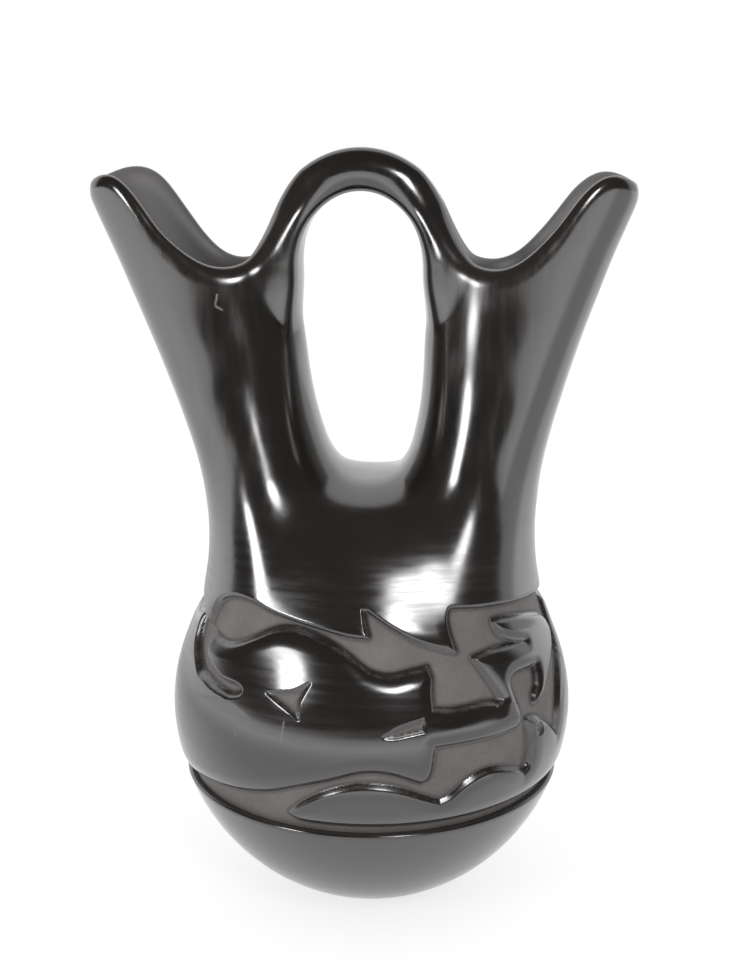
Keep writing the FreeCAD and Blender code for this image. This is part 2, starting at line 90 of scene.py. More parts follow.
# Spouts: outer reach, half gap, half depth and walls at each height
SPOUT_HEIGHTS = (90, 110, 128, 150, 165, 180, 192, 206, 222, 236, 246, 256)
SPOUT_REACH = (48.0, 51.8, 54.2, 56.9, 60.8, 65.7, 69.9, 75.2, 81.5, 87.4, 91.2, 95.4)
SPOUT_GAP = (9.0, 9.0, 8.6, 11.8, 16.0, 18.6, 19.6, 21.1, 22.4, 22.4, 21.0, 20.0)
SPOUT_DEPTH = (44.0, 42.0, 38.5, 32.0, 28.5, 25.5, 24.0, 22.5, 21.5, 20.5, 20.0, 19.5)
OUTER_WALL = (7, 7, 7, 6.5, 6, 5.8, 5.7, 5.6, 5.7, 6.0, 6.5, 6.8)
INNER_WALL = (7, 7, 7, 8, 9, 10, 10.6, 11.2, 11.6, 12, 12, 12)
SPOUT_FOOT = 95.0

# Rim: its height at each distance from the handle's middle
RIM_REACHES = (0, 14, 24, 30, 35, 42, 50, 56, 62, 67, 72, 78, 84, 90, 96)
RIM_HEIGHTS = (232, 231, 227, 223.0, 219.6, 217.8, 220.6, 226.0, 233.0, 239.4, 244.2, 246.8,
               245.8, 241.6, 233.8)
RIM_TILT_REACH = 66.0
RIM_TILT_SPREAD = 11.0
LEFT_TILT = 0.24
RIGHT_TILT = 0.05
LEFT_RAISE = 1.0

# Stirrup handle: half width, height and middle of its arch, and its section
ARCH_HALF_WIDTH = 26.2
ARCH_HEIGHT = 31.8
ARCH_MIDDLE = 214.6
HANDLE_HALF_THICKNESS = 5.1
HANDLE_CROWN_EXTRA = 2.2
HANDLE_LEG_TAPER = 4.0
HANDLE_HALF_DEPTH = 6.0
HANDLE_FLAT = 1.8
HANDLE_SPREAD = 5.7
HANDLE_SPREAD_RUN = (218.0, 244.0)
HANDLE_SINK_RUN = (180.0, 210.0)
HANDLE_FOOT = 184.0
LEG_RUN = 30.0

# How softly the clay forms run into each other
CROTCH_BLEND = 12.0
LOW_CROTCH_BLEND = 40.0
CROTCH_RUN = (138.0, 158.0)
SHOULDER_BLEND = 14.0
HOLLOW_BLEND = 14.0
BORE_BLEND = 8.0
FLOOR_BLEND = 10.0
WALL_BLEND = 3.0
LIP_BLEND = 6.5
HANDLE_BLEND = 8.0
LOW_HANDLE_BLEND = 2.0
HANDLE_BLEND_RUN = (188.0, 216.0)

# Net over the upper part, and the boxes that cut it at its joints
UPPER_FLOOR = 117.0
HALF_DEPTH = 54.0
NET_MARGINS = (4.0, 3.0)
BLOCK = 6
BLOCK_MARGIN = 1.8
LEAST_RISE = 0.35
CELL_REACH = 0.62
PROBE = 0.15
FAR = 120.0
SADDLE_HALF_WIDTH = 10.0
SADDLE_HEIGHT = 15.0
HANDLE_CUT = (-42.0, 36.0)
CUT_TOP = 270.0
ON_FORM = (0.6, 0.35)
INSIDE_RUN = (2.6, 4.2)

# Carved band. Outlines are runs of (degrees, height) points, sharp where a third entry says so.
BAND_RADIUS = 64.0
TOOTH_FRONT_LEFT = -60.0
TOOTH_BACK_RIGHT = 112.0
TOOTH_BACK_LEFT = 203.0

# Lower edge of the polished shoulder from one tooth to the next, in degrees past the first tooth
BORDER_ARCH = (
    (0.0, 102.8, SHARP), (0.9, 105.6), (2.2, 108.6), (4.6, 111.6), (8.0, 113.8), (12.5, 115.3),
    (17.2, 115.9), (23.0, 115.2), (29.6, 113.2), (38.0, 111.5), (46.2, 110.2), (56.8, 108.4),
    (63.4, 107.9, SHARP), (62.2, 111.6), (61.4, 115.6, SHARP), (63.4, 115.5, SHARP), (66.4, 113.7),
    (71.2, 110.9), (79.6, 106.4), (87.6, 103.3), (91.2, 102.3, SHARP),
)
# The same edge from the front right tooth to the back right one
BORDER_STEP = (
    (30.5, 105.4), (29.9, 108.8), (29.9, 112.2), (31.2, 115.1), (34.0, 115.4), (40.0, 115.0),
    (47.0, 114.6), (54.0, 113.9), (62.0, 113.0), (72.0, 111.6), (83.0, 109.6), (94.0, 107.6),
    (104.0, 105.0),
)
# Top of the serpent's body from one tooth to the next, in degrees past the first tooth
BODY_ARCH = (
    (7.3, 100.3, SHARP), (10.5, 100.0), (16.0, 100.4), (22.0, 102.4), (30.0, 106.2),
    (37.6, 107.9), (46.0, 106.6), (56.0, 103.4), (66.0, 101.2), (76.0, 101.6),
    (82.7, 103.8, SHARP),
)
# Groove shaped like a J, in degrees past its tooth
J_GROOVE = (
    (7.4, 103.6, SHARP), (5.8, 99.3), (5.1, 96.9), (6.0, 94.9), (9.1, 93.1), (12.7, 91.7),
    (16.2, 90.6), (19.7, 90.4), (23.3, 90.2), (25.2, 89.1), (24.6, 87.2), (20.9, 85.8),
    (17.2, 85.9), (12.5, 86.3), (8.0, 87.2), (4.2, 87.8), (0.5, 90.1), (-3.0, 92.6),
    (-5.6, 95.2), (-6.8, 98.5), (-7.6, 103.8, SHARP),
)
# The serpent from its head's top edge, down the front, round tongue and hook, and back below
SERPENT_FRONT = (
    (-52.7, 100.3, SHARP), (-50.0, 99.9), (-45.0, 100.1), (-40.0, 101.6), (-33.8, 104.7),
    (-28.3, 107.4), (-23.0, 108.3), (-16.4, 107.6), (-9.0, 105.5), (-3.0, 102.6), (2.6, 98.8),
    (6.4, 97.3), (10.5, 96.8), (15.5, 97.6), (21.6, 98.5, SHARP), (22.3, 95.6), (21.8, 91.0),
    (21.8, 86.4, SHARP),
    (26.6, 85.6), (32.0, 85.6), (37.0, 85.7), (41.2, 85.2, SHARP), (42.6, 84.5),
    (44.2, 86.0, SHARP), (41.0, 92.4), (36.8, 99.6, SHARP), (43.6, 100.5), (50.0, 100.4),
    (59.5, 99.8, SHARP),
    (54.8, 101.3), (50.4, 103.4), (47.6, 106.2), (46.6, 109.0, SHARP), (50.0, 108.9), (56.0, 107.9),
    (64.0, 106.2), (73.0, 103.8), (80.5, 101.4), (83.8, 98.6), (84.2, 95.4), (80.6, 92.2),
    (75.2, 90.0), (70.6, 87.7), (66.9, 85.3), (63.4, 82.4), (60.4, 80.9), (58.2, 80.6, SHARP),
    (58.8, 82.8), (60.8, 84.6), (61.8, 87.4), (62.4, 91.5, SHARP), (55.7, 92.2), (51.2, 92.1),
    (49.0, 90.9), (48.5, 88.6), (49.3, 84.4), (50.4, 80.6), (50.4, 77.6), (48.7, 75.9, SHARP),
    (43.0, 75.8), (36.5, 75.8), (29.0, 75.9), (21.3, 75.9, SHARP), (20.9, 72.6), (20.4, 68.6),
    (19.4, 65.6), (17.7, 64.7, SHARP), (14.6, 66.2), (10.8, 68.0), (6.0, 69.1), (0.5, 68.7),
    (-7.6, 65.7), (-16.5, 62.3), (-24.6, 58.8), (-34.0, 56.2), (-44.0, 54.4), (-54.0, 52.9),
    (-64.0, 51.0), (-76.0, 50.2), (-86.0, 50.6), (-96.0, 53.4), (-106.0, 58.4), (-115.0, 62.2),
    (-123.0, 63.4), (-132.0, 61.8), (-142.0, 57.4), (-150.0, 55.2), (-159.0, 56.4),
    (-170.0, 60.8), (-180.0, 63.9), (-190.0, 63.5), (-201.0, 59.6), (-210.0, 56.4),
    (-220.0, 55.8), (-232.0, 58.6), (-242.0, 61.0), (-256.0, 60.0), (-264.0, 70.0, SHARP),
    (-264.0, 101.0),
)
EYE = (
    (-25.8, 90.1, SHARP), (-21.9, 91.0), (-18.1, 91.9), (-13.5, 94.5, SHARP), (-15.3, 90.5),
    (-15.9, 88.4), (-15.6, 84.2, SHARP), (-17.7, 85.8), (-21.4, 87.8),
)
MOUTH = (
    (8.0, 80.2, SHARP), (12.0, 82.7), (18.4, 84.6, SHARP), (18.7, 82.8), (18.3, 81.2, SHARP),
    (14.1, 80.5), (10.0, 79.8),
)
# Wave, figure and raised body to the right of the head
WAVES = (
    (-18.8, 51.4, SHARP), (-16.0, 54.4), (-12.4, 57.5), (-8.0, 60.6), (-3.0, 62.8), (2.4, 63.9),
    (8.0, 63.4), (13.0, 61.8), (18.0, 59.2), (23.4, 56.4, SHARP), (26.6, 57.9), (31.0, 61.7),
    (35.4, 63.8), (40.0, 63.9), (46.0, 61.9), (49.6, 60.2), (52.6, 58.0, SHARP), (55.2, 60.2),
    (55.9, 66.0), (55.2, 72.0), (53.7, 76.0, SHARP), (57.4, 75.2), (62.1, 72.3), (66.0, 68.9),
    (70.3, 65.0, SHARP), (71.2, 69.0), (72.4, 74.0), (75.6, 79.6), (80.0, 84.4), (85.6, 89.4),
    (90.6, 96.4), (94.0, 103.6, SHARP), (103.3, 103.8, SHARP), (112.0, 88.0), (119.0, 74.0),
    (119.0, 61.5), (126.0, 55.0), (135.0, 50.4, SHARP), (100.0, 50.0), (60.0, 49.9), (20.0, 49.8),
    (-10.0, 49.8), (-16.0, 50.0),
)
SLOT = (
    (53.9, 76.6), (52.3, 73.4), (52.0, 67.0), (51.7, 61.0), (52.8, 58.2), (54.8, 58.6),
    (55.8, 63.4), (55.9, 69.0), (55.0, 74.0),
)
PIT = ((57.2, 73.3), (59.4, 73.0), (59.4, 70.8), (57.6, 70.2))
BACK_WAVES = (
    ((-98.0, 50.4, SHARP), (-107.0, 53.2), (-115.0, 56.4), (-122.0, 57.6), (-130.0, 56.2),
     (-138.0, 52.6), (-145.0, 50.4, SHARP), (-122.0, 49.8)),
    ((-152.0, 50.4, SHARP), (-163.0, 52.2), (-173.0, 55.4), (-183.0, 58.0), (-192.0, 57.6),
     (-202.0, 54.0), (-212.0, 50.4, SHARP), (-183.0, 49.8)),
)

CARVE_DEPTH = 2.4
PILLOW_DEPTH = 1.1
PILLOW_REACH = 5.0
PILLOW_TOP = (103.0, 114.0)
PILLOW_LIP = 0.4
PILLOW_POWER = 2.2
WALL_RUN = 1.15
EDGE_ROUND = 0.9
FOOT_ROUND = 0.25
SLOT_EXTRA = 0.9
SLOT_RUN = (-0.6, 0.5)
SLOT_START = (0.6, 1.6)
SHALLOW_SHARE = 0.5
SHALLOW_RUN = (-0.4, 0.6)
NUDGE = 0.12
ROUND_COLUMNS = 1080
BELLY_ROWS = 188
SHOULDER_ROWS = 42
INNER_STEP = 5
BELLY_CUTS = (("front", 300, 795), ("back_right", 795, 1090), ("back_left", 1090, 1380))
INNER_ROWS = 16
CARVE_REACH = 5.4
SNAP = 0.24
SNAP_STEEP = (0.6, 1.3)
TRACE_STEP = 0.8
OVERSHOOT = 1.4
WALL_SPAN = (40, 124)
WALL_STEPS = 337
SMALL_RUN = (-0.2, 0.2)
GROUND_RUN = (0.75, 1.35)
SMALL_GROUND_RUN = (0.35, 0.8)
EDGE_REACH = 0.8
# Painted shade on the carved walls: where it rises and falls off, and how much less of it small cuts
# get
WALL_START = (0.1, 0.6)
WALL_END = (1.2, 2.4)
SMALL_WALL_SHARE = 0.7
ARCH_GAP = 8.5
ARCH_START = 103.8
ROOT_STEPS = 9
ROOT_SHARE = 0.9

# Scratches on the left spout and on the head: two ends and a width, in metres
SCRATCHES = (
    ((-0.0469, -0.0220, 0.2088), (-0.0476, -0.0224, 0.2054), 0.0006),
    ((-0.0476, -0.0224, 0.2054), (-0.0454, -0.0222, 0.2041), 0.0006),
    ((-0.0221, -0.0623, 0.0827), (-0.0230, -0.0633, 0.0768), 0.0005),
)
IOR = 2.2
CLOUD_ROUGHNESS = 0.08
DUST_SHARE = 0.75
DUST_ROUGHNESS = 0.6
INNER_ROUGHNESS = 0.55
EDGE_SHARE = 0.45
EDGE_ROUGHNESS = 0.42
# How strongly the painted wall shade darkens the ground
WALL_SHADE_SHARE = 0.85
RUB_SHARE = 0.22
GRIT_SHARE = 0.35
GROUND_ROUGHNESS = (0.62, 0.8)
POLISH_BUMP = (0.03, 0.001)
GROUND_BUMP = (0.35, 0.0003)

# Floor and surround: diffuse grey, and how bright they are to the camera and to soft light
FLOOR_HALF = 6.0
FLOOR_GREY = (0.38, 0.38, 0.38, 1)
WHITE = (1, 1, 1, 1)
FLOOR_GLOW = 0.74
SOFT_WORLD = 0.75
NEAR_FADE = 0.7
BEHIND_GAIN = 0.8
RIGHT_DIM = 0.55
# Lamps: name, turn to the right of the front, rise, distance and size
BOXES = (("left_box", -43.0, 18.0, 0.95, 0.24), ("right_box", 21.0, 31.0, 0.95, 0.25))
AIM = Vector((0, 0, 0.11))
FRAME_MM = 36.0
PICTURE_SHIFT = -2 / 977


# Smooth curves and blends

def smooth_curve(places, values):
    """A natural cubic spline through the points. It gives its value, or its slope."""
    places = np.array(places, float)
    values = np.array(values, float)
    step = np.diff(places)
    count = len(places)
    system = np.eye(count)
    right = np.zeros(count)
    for k in range(1, count - 1):
        system[k, k - 1:k + 2] = step[k - 1], 2 * (step[k - 1] + step[k]), step[k]
        right[k] = 6 * ((values[k + 1] - values[k]) / step[k]
                        - (values[k] - values[k - 1]) / step[k - 1])
    bend = np.linalg.solve(system, right)

    def curve(at, slope=False):
        at = np.clip(at, places[0], places[-1])
        k = np.clip(np.searchsorted(places, at, side="right") - 1, 0, count - 2)
        a = (places[k + 1] - at) / step[k]
        b = 1 - a
        if slope:
            return ((values[k + 1] - values[k]) / step[k]
                    + ((1 - 3 * a * a) * bend[k] + (3 * b * b - 1) * bend[k + 1]) * step[k] / 6)
        return (a * values[k] + b * values[k + 1]
                + ((a**3 - a) * bend[k] + (b**3 - b) * bend[k + 1]) * step[k]**2 / 6)

    return curve


body_radius = smooth_curve(BODY_HEIGHTS, BODY_RADII)
lean_at = smooth_curve(LEAN_HEIGHTS, LEANS)
spout_reach = smooth_curve(SPOUT_HEIGHTS, SPOUT_REACH)
spout_gap = smooth_curve(SPOUT_HEIGHTS, SPOUT_GAP)
spout_depth = smooth_curve(SPOUT_HEIGHTS, SPOUT_DEPTH)
outer_wall = smooth_curve(SPOUT_HEIGHTS, OUTER_WALL)
inner_wall = smooth_curve(SPOUT_HEIGHTS, INNER_WALL)
rim_height = smooth_curve(RIM_REACHES, RIM_HEIGHTS)


def join(a, b, softness):
    """The union of two distance fields, run into each other over softness."""
    h = np.clip(0.5 + 0.5 * (b - a) / softness, 0, 1)
    return b * (1 - h) + a * h - softness * h * (1 - h)


def overlap(a, b, softness):
    """What two distance fields share, with an edge rounded by softness."""
    return -join(-a, -b, softness)


def ease(low, high, value):
    """0 below low, 1 above high, and a smooth step between."""
    t = np.clip((value - low) / (high - low), 0, 1)
    return t * t * (3 - 2 * t)


# The jar as distance fields: negative in the clay

def turned_body(x, y, z, inset=0.0, top=BODY_TOP):
    """The turned body, moved in by inset and rounded off at its top."""
    last = BODY_HEIGHTS[-1]
    held = np.clip(z, 0, last)
    end_slope = body_radius(last, True)
    radius = body_radius(held) + np.maximum(z - last, 0) * end_slope - inset
    slope = body_radius(held, True)
    side = (np.hypot(x, y) - radius) / np.sqrt(1 + slope * slope)
    return overlap(side, z - top, BODY_TOP_ROUND)


def oval(across, deep, half_width, half_depth):
    """Distance to an upright oval."""
    q = np.hypot(across / half_width, deep / half_depth)
    pull = np.hypot(across / half_width**2, deep / half_depth**2)
    return np.maximum(q * (q - 1) / np.maximum(pull, 1e-9), -np.minimum(half_width, half_depth))


def spout_form(x, y, z, side, bore=False):
    """A flaring spout, or its bore."""
    x = (x + lean_at(z)) * side
    reach, gap, depth = spout_reach(z), spout_gap(z), spout_depth(z)
    if bore:
        reach = reach - outer_wall(z)
        gap = gap + inner_wall(z)
        depth = depth - outer_wall(z)
    slope = 0.5 * spout_reach(z, True)
    tube = oval(x - (reach + gap) / 2, y, (reach - gap) / 2, depth) / np.sqrt(1 + slope**2)
    return np.maximum(tube, SPOUT_FOOT - z)


def above_rim(x, y, z):
    """How far a point lies above the rims."""
    x = x + lean_at(z)
    reach = np.abs(x)
    tilt = np.where(x < 0, LEFT_TILT, RIGHT_TILT) * y
    tilt = tilt + np.where(x < 0, LEFT_RAISE, 0.0)
    tilt = tilt * np.exp(-((reach - RIM_TILT_REACH) / RIM_TILT_SPREAD)**2)
    return (z - rim_height(reach) - tilt) / np.sqrt(1 + rim_height(reach, True)**2)


def handle_form(x, y, z):
    """The stirrup handle: an oval roll round half an oval, whose legs sink into the spouts."""
    x = x + lean_at(z)
    up = np.maximum(z - ARCH_MIDDLE, 0)
    q = np.hypot(x / ARCH_HALF_WIDTH, up / ARCH_HEIGHT)
    pull = np.hypot(x / ARCH_HALF_WIDTH**2, up / ARCH_HEIGHT**2) / np.maximum(q, 1e-6)
    off_line = (q - 1) / np.maximum(pull, 1e-6)
    crown = np.clip(up / ARCH_HEIGHT, 0, 1)**2
    low = ease(0, LEG_RUN, ARCH_MIDDLE - z)
    thick = HANDLE_HALF_THICKNESS + HANDLE_CROWN_EXTRA * crown - HANDLE_LEG_TAPER * low
    flat = HANDLE_FLAT + HANDLE_SPREAD * (1 - ease(*HANDLE_SPREAD_RUN, z))
    flat = flat * ease(*HANDLE_SINK_RUN, z)
    deep = np.maximum(np.abs(y) - flat, 0)
    return np.maximum(oval(off_line, deep, thick, HANDLE_HALF_DEPTH), HANDLE_FOOT - z)


def outer_skin(x, y, z):
    """The outside of belly, neck and spouts, as if they were solid."""
    softness = LOW_CROTCH_BLEND + (CROTCH_BLEND - LOW_CROTCH_BLEND) * ease(*CROTCH_RUN, z)
    spouts = join(spout_form(x, y, z, -1), spout_form(x, y, z, 1), softness)
    return join(turned_body(x, y, z), spouts, SHOULDER_BLEND)


def hollow(x, y, z):
    """The space inside the jar."""
    bores = join(spout_form(x, y, z, -1, True), spout_form(x, y, z, 1, True),
                 BORE_BLEND)
    belly = overlap(turned_body(x, y, z, WALL, HOLLOW_TOP), FLOOR - z, FLOOR_BLEND)
    return join(belly, bores, HOLLOW_BLEND)


def jar_form(x, y, z):
    """The whole fired jar without its carving."""
    clay = overlap(outer_skin(x, y, z), -hollow(x, y, z), WALL_BLEND)
    clay = overlap(clay, above_rim(x, y, z), LIP_BLEND)
    softness = LOW_HANDLE_BLEND + (HANDLE_BLEND - LOW_HANDLE_BLEND) * ease(*HANDLE_BLEND_RUN, z)
    return join(clay, handle_form(x, y, z), softness)


def rise_of(form, points):
    """How a form's value rises along each axis at some points."""
    x, y, z = points.T
    return np.stack([
        form(x + PROBE, y, z) - form(x - PROBE, y, z),
        form(x, y + PROBE, z) - form(x, y - PROBE, z),
        form(x, y, z + PROBE) - form(x, y, z - PROBE),
    ], 1) / (2 * PROBE)


def slope_of(form, points):
    """The outward direction of a form at some points."""
    rise = rise_of(form, points)
    return rise / np.maximum(np.linalg.norm(rise, axis=1, keepdims=True), 1e-9)


# Meshes

def read_vectors(items, label):
    """One vector of each item of a mesh."""
    values = np.zeros(len(items) * 3, np.float32)
    items.foreach_get(label, values)
    return values.reshape(-1, 3)


def flat_list(faces):
    """Corner indices and corner counts of lists of faces with 3, 4 or more corners."""
    corners = [np.asarray(group, np.int32).reshape(-1) for group in faces]
    counts = [np.full(len(group), len(group[0]), np.int32) for group in faces if len(group)]
    return np.concatenate(corners), np.concatenate(counts)


def make_piece(name, points, faces, normals=None, smooth_to=None, attributes=None):
    """A closed mesh piece in metres. The first smooth_to faces take their corners' normals from
    normals, and the rest are flat."""
    corners, counts = flat_list([group for group in faces if len(group)])
    starts = np.concatenate([[0], np.cumsum(counts)[:-1]]).astype(np.int32)
    mesh = bpy.data.meshes.new(name)
    mesh.vertices.add(len(points))
    mesh.vertices.foreach_set("co", (np.asarray(points) * MM).astype(np.float32).ravel())
    mesh.loops.add(len(corners))
    mesh.loops.foreach_set("vertex_index", corners)
    mesh.polygons.add(len(counts))
    mesh.polygons.foreach_set("loop_start", starts)
    mesh.update(calc_edges=True)
    mesh.validate()
    if normals is not None:
        mesh.polygons.foreach_set("use_smooth", np.ones(len(counts), bool))
        per_corner = np.repeat(read_vectors(mesh.polygons, "normal"), counts, axis=0)
        smooth = np.arange(len(counts)) < (smooth_to if smooth_to is not None else len(counts))
        taken = np.repeat(smooth, counts)
        per_corner[taken] = normals[corners[taken]]
        mesh.normals_split_custom_set(per_corner)
    for label, values in (attributes or {}).items():
        layer = mesh.attributes.new(label, "FLOAT", "POINT")
        layer.data.foreach_set("value", np.asarray(values, np.float32))
    piece = bpy.data.objects.new(name, mesh)
    bpy.context.scene.collection.objects.link(piece)
    return piece


def settle(piece, nodes, material):
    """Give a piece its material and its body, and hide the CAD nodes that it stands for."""
    piece.data.materials.clear()
    piece.data.materials.append(material)
    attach(piece, "root")
    if nodes:
        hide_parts(*nodes)


# Carving

def trace(points, closed=True):
    """A smooth line through outline points, broken at the sharp ones, in mm round and up."""
    flat = np.array([(math.radians(p[0]) * BAND_RADIUS, along_wall(p[1])) for p in points])
    sharp = [len(p) > 2 for p in points]
    count = len(flat)
    line = []
    for k in range(count if closed else count - 1):
        here, there = flat[k], flat[(k + 1) % count]
        before = flat[k - 1] if closed or k else here
        after = flat[(k + 2) % count] if closed or k + 2 < count else there
        leave = (there - here) if sharp[k] else (there - before) / 2
        arrive = (there - here) if sharp[(k + 1) % count] else (after - here) / 2
        length = np.linalg.norm(there - here)
        for out in (leave, arrive):
            out *= min(1, OVERSHOOT * length / max(np.linalg.norm(out), LEAST))
        pieces = max(1, int(math.ceil(length / TRACE_STEP)))
        for t in np.arange(pieces) / pieces:
            line.append((2 * t**3 - 3 * t**2 + 1) * here + (t**3 - 2 * t**2 + t) * leave
                        + (-2 * t**3 + 3 * t**2) * there + (t**3 - t**2) * arrive)
    if not closed:
        line.append(flat[-1])
    return np.array(line)


WALL_HEIGHTS = np.linspace(*WALL_SPAN, WALL_STEPS)
WALL_LENGTHS = np.concatenate([[0], np.cumsum(np.hypot(
    np.diff(WALL_HEIGHTS), np.diff(body_radius(np.minimum(WALL_HEIGHTS, BODY_HEIGHTS[-2])))))])


def along_wall(height):
    """Length along the wall's outline up to a height."""
    return np.interp(height, WALL_HEIGHTS, WALL_LENGTHS)


def moved(points, degrees, stretch=1.0):
    """An outline turned round the belly."""
    return tuple((degrees + p[0] * stretch,) + tuple(p[1:]) for p in points)


def outline_distance(line, round_places, up_places):
    """Distance in mm from a closed line on the band, negative inside it, cut off at CARVE_REACH."""
    distance = np.full((len(up_places), len(round_places)), CARVE_REACH)
    flips = np.zeros((len(up_places), len(round_places) + 1), np.int32)
    gap = round_places[1] - round_places[0]
    ends = np.roll(line, -1, axis=0)
    for (ax, ay), (bx, by) in zip(line, ends):
        if max(ax, bx) > round_places[0] - CARVE_REACH:
            first = int((min(ax, bx) - CARVE_REACH - round_places[0]) / gap)
            last = int((max(ax, bx) + CARVE_REACH - round_places[0]) / gap) + 2
            first, last = max(first, 0), min(last, len(round_places))
            low, high = np.searchsorted(up_places, (min(ay, by) - CARVE_REACH,
                                                    max(ay, by) + CARVE_REACH))
            if first < last and low < high:
                across = round_places[None, first:last] - ax
                up = up_places[low:high, None] - ay
                run, rise = bx - ax, by - ay
                t = np.clip((across * run + up * rise) / max(run * run + rise * rise, 1e-12), 0, 1)
                near = np.hypot(across - t * run, up - t * rise)
                window = distance[low:high, first:last]
                np.minimum(window, near, out=window)
        if ay != by:
            low, high = np.searchsorted(up_places, (min(ay, by), max(ay, by)))
            rows = np.arange(low, high)
            cross = ax + (up_places[rows] - ay) * (bx - ax) / (by - ay)
            flips[rows, np.searchsorted(round_places, cross)] += 1
    inside = np.cumsum(flips, axis=1)[:, :-1] % 2 == 1
    return np.where(inside, -distance, distance)


def band_distance(degrees, heights):
    """Distances in mm on the band: outside what is raised, outside the figures before their eye,
    mouth and grooves are cut, and outside the slot that is cut deeper."""
    round_places = np.radians(degrees) * BAND_RADIUS
    up_places = along_wall(heights)
    turn = 2 * math.pi * BAND_RADIUS

    def nearest(line):
        near = np.full((len(up_places), len(round_places)), CARVE_REACH)
        for shift in (-turn, 0, turn):
            placed = line + np.array([shift, 0])
            if placed[:, 0].max() > round_places[0] - CARVE_REACH:
                if placed[:, 0].min() < round_places[-1] + CARVE_REACH:
                    near = np.minimum(near, outline_distance(placed, round_places, up_places))
        return near

    back_span = TOOTH_BACK_LEFT - TOOTH_BACK_RIGHT
    last_span = TOOTH_FRONT_LEFT + 360 - TOOTH_BACK_LEFT
    arch_span = BORDER_ARCH[-1][0]
    edge = (moved(BORDER_ARCH, TOOTH_FRONT_LEFT) + BORDER_STEP
            + moved(BORDER_ARCH, TOOTH_BACK_RIGHT, back_span / arch_span)[:-1]
            + moved(BORDER_ARCH, TOOTH_BACK_LEFT, last_span / arch_span)[:-1])
    period = trace(edge + moved(edge[:1], 360), closed=False)[:-1]
    shoulder_line = np.concatenate([
        period - (turn, 0), period, period + (turn, 0),
        [(period[0, 0] + 2 * turn, WALL_LENGTHS[-1]), (period[0, 0] - turn, WALL_LENGTHS[-1])],
    ])
    raised = outline_distance(shoulder_line, round_places, up_places)

    body_top = ()
    for tooth, span in ((TOOTH_BACK_RIGHT - 360, back_span), (TOOTH_BACK_LEFT - 360, last_span)):
        stretch = (span - ARCH_GAP - BODY_ARCH[0][0]) / (BODY_ARCH[-1][0] - BODY_ARCH[0][0])
        start = tooth + BODY_ARCH[0][0] * (1 - stretch)
        body_top += moved(BODY_ARCH, start, stretch)
    start = (TOOTH_BACK_RIGHT - 360 - ARCH_GAP, ARCH_START, SHARP)
    serpent = (SERPENT_FRONT[-1], start) + body_top + SERPENT_FRONT[:-1]
    for outline in (serpent, WAVES) + BACK_WAVES:
        raised = np.minimum(raised, nearest(trace(outline)))
    figures = raised
    for tooth in (TOOTH_FRONT_LEFT, TOOTH_BACK_RIGHT, TOOTH_BACK_LEFT):
        raised = np.maximum(raised, -nearest(trace(moved(J_GROOVE, tooth))))
    small = np.minimum.reduce([nearest(trace(outline)) for outline in (EYE, MOUTH, PIT)])
    return np.maximum(raised, -small), figures, nearest(trace(SLOT)), small


def carve_depth(away, figures, slot, small, heights):
    """Depth of the carving: figures that bulge like pillows, a small lip, a wall and a floor. The
    small cuts are shallower, and the slot is deeper."""
    share = np.clip((figures + PILLOW_REACH) / (PILLOW_REACH + PILLOW_LIP), 0, 1)**PILLOW_POWER
    pillow = PILLOW_DEPTH * share * (1 - ease(*PILLOW_TOP, heights))[:, None]
    deep = (CARVE_DEPTH - pillow) * (1 - SHALLOW_SHARE * (1 - ease(*SHALLOW_RUN, small)))
    slope = deep / WALL_RUN
    wall = overlap(slope * away, np.zeros_like(away), EDGE_ROUND * slope)
    extra = SLOT_EXTRA * (1 - ease(*SLOT_RUN, slot)) * ease(*SLOT_START, away)
    return pillow + join(wall, deep, FOOT_ROUND) + extra


def carved_normals(outward, angles, fields, raw, heights, lengths, radius):
    """Normals of the carved wall, from how its depth changes with each distance."""
    spans = radius * np.radians(360 / ROUND_COLUMNS)
    round_way = np.stack([np.cos(angles), np.sin(angles), np.zeros_like(angles)], -1)[None]
    up_way = np.cross(outward, round_way)
    up_way *= np.sign(up_way[..., 2:])
    normals = outward.copy()
    for k in range(len(fields)):
        more, less = list(fields), list(fields)
        more[k], less[k] = fields[k] + NUDGE, fields[k] - NUDGE
        fall = (carve_depth(*more, heights) - carve_depth(*less, heights)) / (2 * NUDGE)
        turn = (np.roll(raw[k], -1, axis=1) - np.roll(raw[k], 1, axis=1)) / (2 * spans)
        rise = np.gradient(raw[k], lengths, axis=0)
        normals += fall[..., None] * (turn[..., None] * round_way + rise[..., None] * up_way)
    return normals / np.linalg.norm(normals, axis=-1, keepdims=True)


def radial_root(form, angles, heights, start):
    """Radius at which a form is met, for each height and angle."""
    radius = np.broadcast_to(start[:, None], (len(heights), len(angles))).copy()
    z = heights[:, None]
    for _ in range(ROOT_STEPS):
        radius -= ROOT_SHARE * form(radius * np.sin(angles), -radius * np.cos(angles), z)
    return radius


def around(radius, angles, heights):
    """Points at a radius and an angle from the front."""
    return np.stack([radius * np.sin(angles), -radius * np.cos(angles),
                     np.broadcast_to(heights, radius.shape)], -1)


